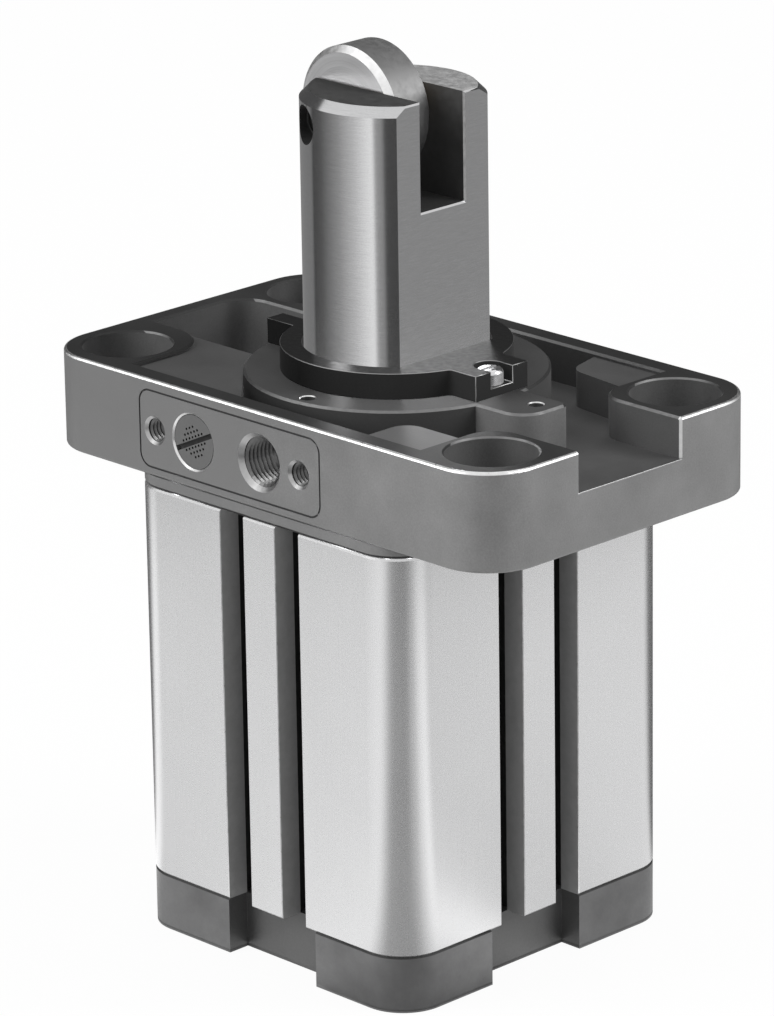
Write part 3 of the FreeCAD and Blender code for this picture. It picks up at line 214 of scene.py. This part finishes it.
def sees_white(nodes, links, share=1.0):
    """A share where a ray is of a kind that sees the plain white, and nothing elsewhere."""
    path = nodes.new("ShaderNodeLightPath")
    total = path.outputs[SEEN_WHITE[0]]
    for kind in SEEN_WHITE[1:]:
        either = nodes.new("ShaderNodeMath")
        either.operation = "MAXIMUM"
        links.new(total, either.inputs[0])
        links.new(path.outputs[kind], either.inputs[1])
        total = either.outputs[0]
    part = nodes.new("ShaderNodeMath")
    part.operation = "MULTIPLY"
    part.inputs[1].default_value = share
    links.new(total, part.inputs[0])
    return part.outputs[0]


def set_world():
    """White where the camera and reflections look, and a soft even light on everything else."""
    world = bpy.data.worlds.new("studio")
    world.use_nodes = True
    nodes, links = world.node_tree.nodes, world.node_tree.links
    nodes.clear()
    output = nodes.new("ShaderNodeOutputWorld")
    seen = nodes.new("ShaderNodeBackground")
    seen.inputs["Color"].default_value = (1, 1, 1, 1)
    light = nodes.new("ShaderNodeBackground")
    light.inputs["Color"].default_value = (1, 1, 1, 1)
    light.inputs["Strength"].default_value = 0.5
    mix = nodes.new("ShaderNodeMixShader")
    links.new(sees_white(nodes, links), mix.inputs["Fac"])
    links.new(light.outputs[0], mix.inputs[1])
    links.new(seen.outputs[0], mix.inputs[2])
    links.new(mix.outputs[0], output.inputs["Surface"])
    bpy.context.scene.world = world


def set_floor():
    """A pale floor that melts into the white behind it, and keeps the shadow."""
    bm = bmesh.new()
    bmesh.ops.create_grid(bm, x_segments=2, y_segments=2, size=6)
    material = bpy.data.materials.new("floor_white")
    material.use_nodes = True
    nodes, links = material.node_tree.nodes, material.node_tree.links
    nodes.clear()
    output = nodes.new("ShaderNodeOutputMaterial")
    matt = nodes.new("ShaderNodeBsdfDiffuse")
    matt.inputs["Color"].default_value = (*grey(0.85), 1)
    white = nodes.new("ShaderNodeEmission")
    mix = nodes.new("ShaderNodeMixShader")
    links.new(sees_white(nodes, links, share=0.95), mix.inputs["Fac"])
    links.new(matt.outputs[0], mix.inputs[1])
    links.new(white.outputs[0], mix.inputs[2])
    links.new(mix.outputs[0], output.inputs["Surface"])
    add_piece("studio_floor", bm, material)


# Materials.
class Finish:
    """A material with one principled shader, and short ways to add nodes in front of it.

    The plain colour and roughness show where a viewer reads no nodes.
    """

    def __init__(self, name, metallic, roughness, colour, sheen=0.5):
        self.material = bpy.data.materials.new(name)
        self.material.use_nodes = True
        self.tree = self.material.node_tree
        self.tree.nodes.clear()
        output = self.add("ShaderNodeOutputMaterial")
        self.shader = self.add("ShaderNodeBsdfPrincipled")
        self.shader.inputs["Metallic"].default_value = metallic
        self.shader.inputs["Roughness"].default_value = roughness
        self.shader.inputs["Base Color"].default_value = (*colour, 1)
        self.shader.inputs["Specular IOR Level"].default_value = sheen
        self.join(self.shader.outputs[0], output.inputs["Surface"])
        self.coordinates = self.add("ShaderNodeTexCoord").outputs["Object"]

    def add(self, kind, **settings):
        node = self.tree.nodes.new(kind)
        for key, value in settings.items():
            setattr(node, key, value)
        return node

    def join(self, source, target):
        self.tree.links.new(source, target)

    def moved(self, scale=(1, 1, 1), place=(0, 0, 0)):
        """Object coordinates, with a place taken away first and then scaled."""
        away = self.add("ShaderNodeVectorMath", operation="SUBTRACT")
        self.join(self.coordinates, away.inputs[0])
        away.inputs[1].default_value = place
        sized = self.add("ShaderNodeVectorMath", operation="MULTIPLY")
        self.join(away.outputs[0], sized.inputs[0])
        sized.inputs[1].default_value = scale
        return sized.outputs[0]

    def along(self, axis):
        """Object coordinate along one axis."""
        apart = self.add("ShaderNodeSeparateXYZ")
        self.join(self.coordinates, apart.inputs[0])
        return apart.outputs[axis]

    def reach(self, place):
        """Distance from the axis along Y through a place."""
        node = self.add("ShaderNodeVectorMath", operation="LENGTH")
        self.join(self.moved((1, 0, 1), place), node.inputs[0])
        return node.outputs["Value"]

    def noise(self, vector, scale, detail):
        node = self.add("ShaderNodeTexNoise")
        self.join(vector, node.inputs["Vector"])
        node.inputs["Scale"].default_value = scale
        node.inputs["Detail"].default_value = detail
        node.inputs["Roughness"].default_value = 0.6
        return node.outputs["Fac"]

    def spread(self, value, low, high, start=0.3, end=0.7):
        """Maps a value's usual range to another one."""
        node = self.add("ShaderNodeMapRange")
        self.join(value, node.inputs["Value"])
        node.inputs["From Min"].default_value = start
        node.inputs["From Max"].default_value = end
        node.inputs["To Min"].default_value = low
        node.inputs["To Max"].default_value = high
        return node.outputs["Result"]

    def weigh(self, *pairs):
        """Adds up values, each times its share."""
        total = None
        for value, share in pairs:
            part = self.add("ShaderNodeMath", operation="MULTIPLY")
            self.join(value, part.inputs[0])
            part.inputs[1].default_value = share
            total = part.outputs[0] if total is None else self.plus(total, part.outputs[0])
        return total

    def plus(self, first, second):
        node = self.add("ShaderNodeMath", operation="ADD")
        self.join(first, node.inputs[0])
        self.join(second, node.inputs[1])
        return node.outputs[0]

    def tint(self, factor, dark, light):
        """Blends two colours by a value, into the base colour."""
        node = self.add("ShaderNodeMix", data_type="RGBA")
        self.join(factor, node.inputs["Factor"])
        node.inputs["A"].default_value = (*dark, 1)
        node.inputs["B"].default_value = (*light, 1)
        colour = [output for output in node.outputs if output.type == "RGBA"][0]
        self.join(colour, self.shader.inputs["Base Color"])

    def roughen(self, value):
        self.join(value, self.shader.inputs["Roughness"])

    def bump(self, height, distance, strength):
        node = self.add("ShaderNodeBump")
        node.inputs["Strength"].default_value = strength
        node.inputs["Distance"].default_value = distance
        self.join(height, node.inputs["Height"])
        self.join(node.outputs[0], self.shader.inputs["Normal"])


def cast_metal(name, dark, light, metallic=0.3, roughness=0.5, sheen=0.5, left_shade=0.0):
    """Die casting: fine sandy grain and a cloudy surface, with painted shade that can darken it towards the
    left.
    """
    finish = Finish(name, metallic, roughness, grey(light), sheen)
    clouds = finish.noise(finish.moved(), scale=70, detail=4)
    grain = finish.noise(finish.moved(), scale=3200, detail=2)
    mixed = finish.weigh((clouds, 0.6), (grain, 0.4))
    tone = finish.spread(mixed, 0, 1)
    # Painted shade: the colour grows darker towards the left end.
    if left_shade:
        tone = finish.plus(tone, finish.spread(finish.along("X"), -left_shade, 0, start=-0.04, end=0.05))
    finish.tint(tone, grey(dark), grey(light))
    finish.roughen(finish.spread(mixed, roughness - 0.08, roughness + 0.08))
    finish.bump(grain, distance=0.00003, strength=0.6)
    return finish.material


def shaded_wall(name, dark, light, start, end):
    """A round wall with painted shade: its colour grows darker to the left, between two places across the
    part.
    """
    finish = Finish(name, 0.0, 0.55, grey(light), sheen=0.06)
    way = finish.spread(finish.along("X"), 0, 1, start, end)
    grain = finish.noise(finish.moved(), scale=2600, detail=2)
    finish.tint(finish.weigh((way, 0.86), (grain, 0.16)), grey(dark), grey(light))
    finish.bump(grain, distance=0.00003, strength=0.6)
    return finish.material


def drawn_barrel():
    """Clear-anodised extrusion: a fine brushed grain, and faint lines along its length."""
    finish = Finish("drawn_barrel", 0.85, 0.28, grey(0.6))
    lines = finish.noise(finish.moved((1, 1, 0.004)), scale=7000, detail=2)
    grain = finish.noise(finish.moved((0.35, 0.35, 1)), scale=6500, detail=2)
    clouds = finish.noise(finish.moved(), scale=45, detail=3)
    mixed = finish.weigh((lines, 0.25), (clouds, 0.35), (grain, 0.4))
    tone = finish.spread(mixed, 0, 1, start=0.35, end=0.65)
    finish.tint(tone, (0.6, 0.6, 0.605), (0.645, 0.645, 0.65))
    finish.roughen(finish.spread(mixed, 0.25, 0.3))
    finish.bump(grain, distance=0.000004, strength=0.4)
    return finish.material


def satin_cap():
    """Grey satin casting of the end cap."""
    finish = Finish("satin_cap", 0.6, 0.45, grey(0.3))
    clouds = finish.noise(finish.moved(), scale=90, detail=4)
    grain = finish.noise(finish.moved(), scale=2200, detail=2)
    finish.tint(finish.spread(clouds, 0, 1), (0.11, 0.11, 0.111), (0.17, 0.17, 0.171))
    finish.roughen(finish.spread(grain, 0.4, 0.52))
    finish.bump(grain, distance=0.00002, strength=0.5)
    return finish.material


def ground_plunger():
    """Ground and plated rod: very fine rings round its axis."""
    finish = Finish("ground_plunger", 1.0, 0.22, grey(0.6))
    rings = finish.noise(finish.moved((0.04, 0.04, 1)), scale=9000, detail=2)
    grain = finish.noise(finish.moved(), scale=5200, detail=2)
    mixed = finish.weigh((rings, 0.5), (grain, 0.5))
    tone = finish.spread(mixed, 0, 1, start=0.35, end=0.65)
    finish.tint(tone, (0.53, 0.53, 0.535), (0.61, 0.61, 0.615))
    finish.roughen(finish.spread(mixed, 0.11, 0.16))
    finish.bump(rings, distance=0.000003, strength=0.4)
    return finish.material


def turned_roller():
    """Turned roller: fine circles on its faces and round its rim."""
    finish = Finish("turned_roller", 1.0, 0.28, grey(0.5))
    joined = finish.add("ShaderNodeCombineXYZ")
    finish.join(finish.reach((ROLLER_X, 0, ROLLER_Z)), joined.inputs[0])
    finish.join(finish.along("Y"), joined.inputs[1])
    circles = finish.noise(joined.outputs[0], scale=9500, detail=2)
    finish.tint(finish.spread(circles, 0, 1), (0.47, 0.47, 0.475), (0.55, 0.55, 0.555))
    finish.roughen(finish.spread(circles, 0.36, 0.42))
    finish.bump(circles, distance=0.000003, strength=0.4)
    return finish.material


def plain_metal(name, colour, roughness, metallic=1.0, scale=900, sheen=0.5):
    """A metal with a fine grain in its tone and gloss."""
    finish = Finish(name, metallic, roughness, colour, sheen)
    grain = finish.noise(finish.moved(), scale, detail=3)
    darker = [part * 0.86 for part in colour]
    finish.tint(finish.spread(grain, 0, 1), darker, colour)
    finish.roughen(finish.spread(grain, roughness * 0.85, roughness * 1.15))
    finish.bump(grain, distance=0.00001, strength=0.4)
    return finish.material


def soft_plastic(name, colour, roughness):
    """Rubber and plastics, with a fine grain in their tone and gloss."""
    finish = Finish(name, 0.0, roughness, colour)
    grain = finish.noise(finish.moved(), scale=1500, detail=2)
    darker = [part * 0.8 for part in colour]
    finish.tint(finish.spread(grain, 0, 1), darker, colour)
    finish.roughen(finish.spread(grain, roughness * 0.9, roughness * 1.1))
    finish.bump(grain, distance=0.00001, strength=0.4)
    return finish.material


# Pieces.
def add_piece(name, bm, material):
    mesh = bpy.data.meshes.new(name)
    bm.to_mesh(mesh)
    bm.free()
    mesh.materials.append(material)
    piece = bpy.data.objects.new(name, mesh)
    bpy.context.scene.collection.objects.link(piece)
    return piece


def body_of_node(node):
    for body, nodes in frame["record"]["behaviour"]["bodies"].items():
        if node in nodes:
            return body


def mark_sharp_edges(bm):
    for edge in bm.edges:
        edge.smooth = edge.is_manifold and edge.calc_face_angle(0) < SMOOTH_ANGLE


def skin(node, material):
    """A joined copy of a node, with smooth rounds and crisp edges."""
    bm = bmesh.new()
    bm.from_mesh(frame["nodes"][node].data)
    bmesh.ops.remove_doubles(bm, verts=bm.verts, dist=1e-6)
    mark_sharp_edges(bm)
    for face in bm.faces:
        face.smooth = True
        face.material_index = 0
    piece = add_piece(f"{node}_skin", bm, material)
    flats = piece.modifiers.new("flat_faces", "WEIGHTED_NORMAL")
    flats.keep_sharp = True
    flats.weight = 100
    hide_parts(node)
    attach(piece, body_of_node(node))
    return piece


def soften_edges(piece, material, width):
    """A fine bevel along a skin's sharp edges, with a finish of its own, which the callers make lighter for
    wear and a painted highlight.
    """
    piece.data.materials.append(material)
    bevel = piece.modifiers.new("worn_highlight_edges", "BEVEL")
    bevel.width = width
    bevel.segments = 1
    bevel.limit_method = "ANGLE"
    bevel.angle_limit = math.radians(50)
    bevel.material = len(piece.data.materials) - 1
    piece.modifiers.move(len(piece.modifiers) - 1, 0)


def break_edges(piece, material, width, chosen):
    """Cuts a fine chamfer along some sharp edges of a skin, with a finish of its own."""
    sharp = 0.8
    bm = bmesh.new()
    bm.from_mesh(piece.data)
    picked = [edge for edge in bm.edges if edge.is_manifold and edge.calc_face_angle(0) > sharp
              and all(chosen(vert.co) for vert in edge.verts)]
    piece.data.materials.append(material)
    bmesh.ops.bevel(bm, geom=picked, offset=width, offset_type="OFFSET", segments=1, profile=0.5,
                    affect="EDGES", clamp_overlap=False, material=len(piece.data.materials) - 1)
    mark_sharp_edges(bm)
    bm.to_mesh(piece.data)
    bm.free()


def paint_faces(piece, material, chosen):
    """Gives some faces of a skin a finish of their own. Later calls win."""
    piece.data.materials.append(material)
    for face in piece.data.polygons:
        if chosen(face.center, face.normal):
            face.material_index = len(piece.data.materials) - 1


def dye_node(node, material):
    """Gives a hidden node its finish, and keeps its own mesh."""
    mesh = frame["nodes"][node].data
    mesh.materials.clear()
    mesh.materials.append(material)
    for face in mesh.polygons:
        face.material_index = 0


# Tests for faces and edges, by their place and the way they face.
def is_wall(normal):
    return abs(normal.z) < 0.3


def is_level(normal):
    return normal.z > 0.98


def axis_reach(place):
    """How far a point lies from the part's upright axis."""
    return math.hypot(place.x, place.y)


def corner_reach(place):
    """How far a point lies from the centre of the nearest rounded corner of the flange."""
    return math.hypot(max(abs(place.x) - 0.0447, 0), max(abs(place.y) - 0.0232, 0))


def roller_reach(place):
    """How far a point lies from the roller's axis."""
    return math.hypot(place.x - ROLLER_X, place.z - ROLLER_Z)


def near_and_far(place):
    """A point's smaller and larger distance from the two upright middle planes."""
    return sorted((abs(place.x), abs(place.y)))


def in_slot(place, low, high):
    """Says whether a point lies in a sensor slot, between two depths from the middle."""
    near, far = near_and_far(place)
    return low < far < high and near < 0.0107


def on_slot_mouth(place):
    """Says whether a point lies on the edges of the sensor slots."""
    near, far = near_and_far(place)
    return far > 0.0334 and 0.0015 < near < 0.0115


def on_pocket_wall(centre, normal):
    return is_wall(normal) and centre.z > POCKET_LOW


def on_lug_wall(centre, normal):
    """Says whether a face belongs to the side of the boss's lug."""
    return (on_pocket_wall(centre, normal) and axis_reach(centre) > BOSS_REACH
            and 0.02 < centre.x < 0.0375 and abs(centre.y) < 0.0069)


def on_top_chamfer(centre, normal):
    """Says whether a face belongs to the broken edges of the flange's top."""
    return 0.15 < normal.z < 0.97 and centre.z > FLANGE_TOP - 0.0008


def near_boss_hole(place):
    return min(math.hypot(place.x - x, place.y - y) for x, y in BOSS_HOLES) < BOSS_HOLE_REACH


def on_boss_hole_rim(place):
    return abs(place.z - BOSS_TOP) < HAIR and near_boss_hole(place)


def near_hole(place, x, reach):
    """Says whether a point lies close to the axis of a hole in the valve face."""
    return math.hypot(place.x - x, place.z - PORT_LEVEL) < reach


def near_screw_hole(place):
    return near_hole(place, LEFT_SCREW_X, SCREW_REACH) or near_hole(place, RIGHT_SCREW_X, SCREW_REACH)


def on_mouth(centre, normal):
    """Says whether a face is the chamfer at the mouth of a hole in the valve face."""
    return 0.3 < abs(normal.y) < 0.95 and centre.y < MOUTH_END and (
        near_screw_hole(centre) or near_hole(centre, SUPPLY_X, PORT_REACH)
        or near_hole(centre, VENT_X, PORT_REACH))


def on_valve_line(place):
    """Says whether a point lies in the thin line round the valve face."""
    across = abs(place.x + 0.007) - 0.0224
    along = abs(place.z - (FLANGE_TOP - 0.00895)) - 0.0071
    return -0.0008 < max(across, along) < HAIR


def on_notch_corner(centre, normal):
    """Says whether a face is a chamfer beside the notch in the flange's right side."""
    return (centre.x > 0.054 and 0.0121 < abs(centre.y) < 0.0127
            and abs(normal.x) > 0.5 and abs(normal.y) > 0.5)


def on_notch_edge(place):
    """Says whether a point lies on the outer edge of the notch's floor."""
    return place.x > 0.0549 and abs(place.y) < 0.0128 and 0.085 < place.z < 0.095


def on_head_edge(place):
    """Says whether a point lies on the lower edge of the block under the flange."""
    return (abs(place.z - BARREL_TOP) < HAIR and near_and_far(place)[1] > 0.0255
            and axis_reach(place) > BARREL_CORNER_REACH)


def on_cap_edge(place):
    """Says whether a point lies on the upper edge of the end cap."""
    return abs(place.z - BARREL_LOW) < HAIR and axis_reach(place) > BARREL_CORNER_REACH


def in_cap_recess(centre, normal):
    """Says whether a face belongs to the recesses in the end cap's sides."""
    near, far = near_and_far(centre)
    return (is_wall(normal) and centre.z < BARREL_LOW and axis_reach(centre) > 0.026
            and far < 0.0332 and near < 0.02)


def on_ring_side(centre, normal):
    """Says whether a face belongs to the outside of the guide ring."""
    outward = centre.x * normal.x + centre.y * normal.y > 0
    return is_wall(normal) and axis_reach(centre) > 0.0175 and outward


def on_fork_wall(centre, normal):
    """Says whether a face lies inside the fork."""
    return (abs(centre.y) < 0.00517 and centre.z > 0.125
            and (abs(normal.y) > 0.98 or is_level(normal)))


def on_fork_corner(centre, normal):
    """Says whether a face is a broken corner on the fork's right side."""
    return abs(centre.y) < 0.0057 and centre.z > 0.12 and normal.x > 0.5 and abs(normal.y) > 0.5


# Finishes of the pieces' faces.
def paint_flange_top(head, bright, dark):
    """Milled rims, pockets and walls with painted shade, a lighter painted lug side, and broken edges with a
    painted highlight towards the camera and painted shade away from it.
    """
    wall = cast_metal("pocket_wall", 0.045, 0.08)
    side = shaded_wall("boss_side", 0.001, 0.07, start=-0.012, end=0.012)
    lug = cast_metal("lug_side", 0.13, 0.19, metallic=0.1, roughness=0.55, sheen=0.1)
    shelf = cast_metal("cast_shelf", 0.06, 0.095)
    boss = cast_metal("boss_face", 0.05, 0.08, metallic=0.2, sheen=0.15)
    rim = cast_metal("milled_rim_shade", 0.022, 0.038, metallic=0.08, roughness=0.45, sheen=0.1)
    worn = plain_metal("worn_highlight_edge", grey(0.2), 0.35)
    # Painted shade: the pocket walls get a darker copy of the casting.
    paint_faces(head, wall, lambda centre, normal: on_pocket_wall(centre, normal)
                and corner_reach(centre) < 0.0101)
    # Painted shade on the boss's side, darker to the left.
    paint_faces(head, side, lambda centre, normal: on_pocket_wall(centre, normal)
                and 0.02 < axis_reach(centre) < BOSS_REACH)
    # Painted light: the side of the boss's lug gets a lighter copy of the casting.
    paint_faces(head, lug, on_lug_wall)
    # Painted shade: the level faces of the shelves, the boss and the milled rim get darker copies of the
    # casting than its sides.
    paint_faces(head, shelf, lambda centre, normal: is_level(normal) and centre.z > 0.09)
    paint_faces(head, boss, lambda centre, normal: is_level(normal) and centre.z > BOSS_TOP - 0.0001)
    paint_faces(head, rim, lambda centre, normal: is_level(normal) and abs(centre.z - FLANGE_TOP) < 0.0002)
    # Wear and a painted highlight: a metal on the top's broken edges.
    paint_faces(head, worn, on_top_chamfer)
    # Painted shade on the broken edges that face the back, and on some inner ones at the left end.
    paint_faces(head, dark, lambda centre, normal: on_top_chamfer(centre, normal)
                and (normal.y > 0.15 or normal.x > 0.3 and centre.x < -0.03))
    # Painted highlight on the outer broken edges, except towards the back left.
    paint_faces(head, bright, lambda centre, normal: on_top_chamfer(centre, normal)
                and corner_reach(centre) > 0.0095 and centre.x - centre.y > -0.027)
    # Painted shade inside the boss's holes.
    paint_faces(head, dark, lambda centre, normal: centre.z < BOSS_TOP - 0.0005 and near_boss_hole(centre))


def paint_valve_face(head, bright, dark):
    """The dark line round the valve face, painted shade on the threads and deep in the supply port, and
    painted highlights on the chamfers at the mouths of its holes.
    """
    thread = plain_metal("cut_thread_shade", grey(0.06), 0.4)
    mouth = plain_metal("mouth_chamfer", grey(0.42), 0.35)
    paint_faces(head, dark, lambda centre, normal: UNDER_FACE < centre.y < LINE_END and on_valve_line(centre))
    # Painted shade: the threaded walls get a near-black.
    paint_faces(head, thread, lambda centre, normal: UNDER_FACE < centre.y < THREAD_END
                and (near_screw_hole(centre) or near_hole(centre, SUPPLY_X, PORT_REACH)))
    # Painted shade deep in the supply port.
    paint_faces(head, dark, lambda centre, normal: THREAD_END < centre.y < -0.01
                and near_hole(centre, SUPPLY_X, PORT_REACH))
    # Painted highlight: lighter chamfers at the mouths, brightest round the vent.
    paint_faces(head, mouth, on_mouth)
    paint_faces(head, bright, lambda centre, normal: on_mouth(centre, normal)
                and near_hole(centre, VENT_X, PORT_REACH))


def paint_flange(head, bright, dark):
    paint_flange_top(head, bright, dark)
    paint_valve_face(head, bright, dark)
    # Painted highlight on the corner chamfers beside the notch and along the outer edge of its floor.
    paint_faces(head, plain_metal("pale_corner", grey(0.62), 0.5, metallic=0.0), on_notch_corner)
    break_edges(head, plain_metal("floor_edge", grey(0.3), 0.4), 0.0002, on_notch_edge)
    # Painted highlight: a fine bright chamfer round the rims of the boss's holes.
    break_edges(head, bright, 0.00018, on_boss_hole_rim)
    # Painted shadow: a dark chamfer along the lower edge of the block under the flange.
    break_edges(head, dark, 0.0006, on_head_edge)


def paint_barrel(barrel, bright):
    """Painted shade in the sensor slots, grey at the mouths and black towards the floors, and painted
    highlights as fine bright edges along the slots.
    """
    slot_grey = plain_metal("slot_grey", grey(0.42), 0.5, metallic=0.4)
    slot_black = plain_metal("slot_black", grey(0.02), 0.6, metallic=0.2)
    # Painted shade in the slots.
    paint_faces(barrel, slot_grey, lambda centre, normal: is_wall(normal)
                and in_slot(centre, 0.0289, 0.0334))
    paint_faces(barrel, slot_black, lambda centre, normal: is_wall(normal)
                and in_slot(centre, 0.0262, 0.02925))
    # Painted highlight along the slot edges.
    break_edges(barrel, bright, 0.00013, on_slot_mouth)


def paint_cap(cap, dark):
    """Painted shade in the recesses and along the joint under the barrel, and fine edges painted lighter, for
    wear and a painted highlight.
    """
    # Painted shade: the recesses get a darker copy of the cap's casting.
    paint_faces(cap, cast_metal("cap_recess", 0.075, 0.11, metallic=0.5, roughness=0.46), in_cap_recess)
    # Painted shade: a dark chamfer where the barrel meets the cap.
    break_edges(cap, dark, 0.0003, on_cap_edge)
    # Fine edges painted lighter, for wear and a painted highlight.
    soften_edges(cap, plain_metal("cap_edge", grey(0.3), 0.35), 0.00012)


def paint_ring(ring):
    """Painted shade that darkens the side to the left, and fine edges painted lighter, for wear and a painted
    highlight.
    """
    # Painted shade on the ring's side, darker to the left.
    paint_faces(ring, shaded_wall("ring_side", 0.001, 0.031, start=-0.0035, end=0.0129), on_ring_side)
    # Fine edges painted lighter, for wear and a painted highlight.
    soften_edges(ring, plain_metal("ring_edge", grey(0.3), 0.35), 0.0001)


def paint_plunger(rod):
    """Painted shade on the fork walls, the pin holes and the front ear's top, a rougher top on the back ear,
    and painted highlights on the fork's broken corners.
    """
    dark = plain_metal("fork_wall", grey(0.09), 0.45, metallic=0.6)
    front_ear = plain_metal("front_ear_top", grey(0.2), 0.35)
    back_ear = plain_metal("back_ear_top", grey(0.62), 0.5)
    corner = plain_metal("fork_corner", grey(0.7), 0.35)
    top = ROLLER_Z + 0.001
    # Painted shade on the front ear's top; the back ear's top gets a rougher copy.
    paint_faces(rod, front_ear, lambda centre, normal: is_level(normal) and centre.z > top and centre.y < 0)
    paint_faces(rod, back_ear, lambda centre, normal: is_level(normal) and centre.z > top and centre.y > 0)
    # Painted shade in the fork and, below, in the pin holes.
    paint_faces(rod, dark, on_fork_wall)
    # Painted highlight on the fork's broken corners.
    paint_faces(rod, corner, on_fork_corner)
    paint_faces(rod, dark, lambda centre, normal: roller_reach(centre) < PIN_HOLE_REACH)


def paint_roller(roller):
    """A duller tread, and a painted highlight on the chamfer beside the turned faces."""
    tread = plain_metal("roller_tread", grey(0.22), 0.55)
    bright = plain_metal("roller_chamfer", grey(0.85), 0.35)
    paint_faces(roller, tread, lambda centre, normal: abs(normal.y) < 0.3
                and roller_reach(centre) > ROLLER_RIM_REACH)
    # Painted highlight on the roller's chamfer.
    paint_faces(roller, bright, lambda centre, normal: 0.3 < abs(normal.y) < 0.95
                and roller_reach(centre) > ROLLER_RIM_REACH)


def add_thread(name, x, radius, pitch, height, material):
    """A helical ridge on the wall of a threaded hole in the valve face."""
    depth = 0.0072
    steps = 28
    turns = int(depth / pitch)
    root = radius + HAIR
    start = FRONT_FACE + pitch
    half = pitch * 0.42
    spots = ((root, -half), (radius - height, 0.0), (root, half))
    bm = bmesh.new()
    ridge = [bm.verts.new((x + reach, start + shift, PORT_LEVEL)) for reach, shift in spots]
    face = bm.faces.new(ridge)
    bmesh.ops.spin(bm, geom=[face, *face.edges, *face.verts], cent=(x, 0, PORT_LEVEL), axis=(0, 1, 0),
                   dvec=(0, pitch / steps, 0), angle=math.tau * turns, steps=steps * turns)
    bmesh.ops.recalc_face_normals(bm, faces=bm.faces)
    piece = add_piece(name, bm, material)
    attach(piece, "housing")


def add_threads():
    """Threads of the supply port and of the two small screw holes beside the ports."""
    cut = plain_metal("thread_crest", grey(0.13), 0.35)
    add_thread("supply_thread", SUPPLY_X, radius=0.0044, pitch=0.000907, height=0.00045, material=cut)
    add_thread("left_screw_thread", LEFT_SCREW_X, radius=0.0021, pitch=0.0008, height=0.00035, material=cut)
    add_thread("right_screw_thread", RIGHT_SCREW_X, radius=0.0021, pitch=0.0008, height=0.00035, material=cut)


def add_spring(steel):
    """The return spring, which is pressed together as the plunger goes down, as a skin with a mesh of its
    own.
    """
    spring = skin("return_spring", steel)
    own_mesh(spring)


def dress_nodes():
    """Skins for the pieces that show, and finishes for those inside."""
    steel = plain_metal("bright_steel", (0.72, 0.72, 0.73), 0.2)
    rubber = soft_plastic("seal_rubber", grey(0.03), 0.6)
    bronze = plain_metal("bearing_bronze", (0.55, 0.4, 0.22), 0.35)
    # A pale metal for painted highlights along edges and at hole mouths.
    bright = plain_metal("bright_edge", grey(0.75), 0.3)
    # A near-black for dark lines, also used as painted shade in holes and as painted shadow lines.
    dark = plain_metal("dark_line_and_shade", grey(0.02), 0.6, metallic=0.3)
    seen = {
        "end_cap": satin_cap(),
        "barrel": drawn_barrel(),
        # The flange head's colour carries painted shade, darker towards its left end.
        "flange_head": cast_metal("cast_head", 0.15, 0.23, metallic=0.2, roughness=0.44, left_shade=0.9),
        "guide_ring": plain_metal("black_ring", grey(0.02), 0.42, metallic=0.6, sheen=0.15),
        "guide_ring_screw": steel,
        "vent_plug": plain_metal("sintered_plug", grey(0.14), 0.6, metallic=0.7, scale=2500),
        "rod_bush": bronze,
        "tie_screws": steel,
        "plunger_rod": ground_plunger(),
        "roller": turned_roller(),
        "roller_pin": plain_metal("pin_end", grey(0.05), 0.4),
    }
    inside = {
        "rod_seal": rubber,
        "head_oring": rubber,
        "cap_oring": rubber,
        "upper_bumper": rubber,
        "lower_bumper": rubber,
        "spring_seat": steel,
        "piston": plain_metal("piston_metal", grey(0.7), 0.3),
        "piston_seal": rubber,
        "piston_magnet": soft_plastic("magnet_grey", grey(0.08), 0.5),
        "guide_band": soft_plastic("band_ivory", (0.7, 0.68, 0.6), 0.5),
        "piston_oring": rubber,
        "piston_nut": steel,
        "roller_bush": bronze,
        "roller_washers": soft_plastic("washer_ivory", (0.6, 0.58, 0.5), 0.5),
    }
    skins = {node: skin(node, material) for node, material in seen.items()}
    for node, material in inside.items():
        dye_node(node, material)
    add_spring(steel)
    add_threads()
    paint_barrel(skins["barrel"], bright)
    paint_flange(skins["flange_head"], bright, dark)
    paint_plunger(skins["plunger_rod"])
    paint_roller(skins["roller"])
    paint_ring(skins["guide_ring"])
    paint_cap(skins["end_cap"], dark)
    # Painted shade on the vent plug's faces behind the valve face.
    paint_faces(skins["vent_plug"], dark, lambda centre, normal: centre.y > FRONT_FACE + 0.0005)
    for node in ("flange_head", "guide_ring", "guide_ring_screw", "rod_bush", "roller"):
        skins[node].visible_glossy = False


bpy.context.scene.view_settings.view_transform = "Standard"
set_camera()
set_lights()
set_reflections()
set_world()
set_floor()
dress_nodes()
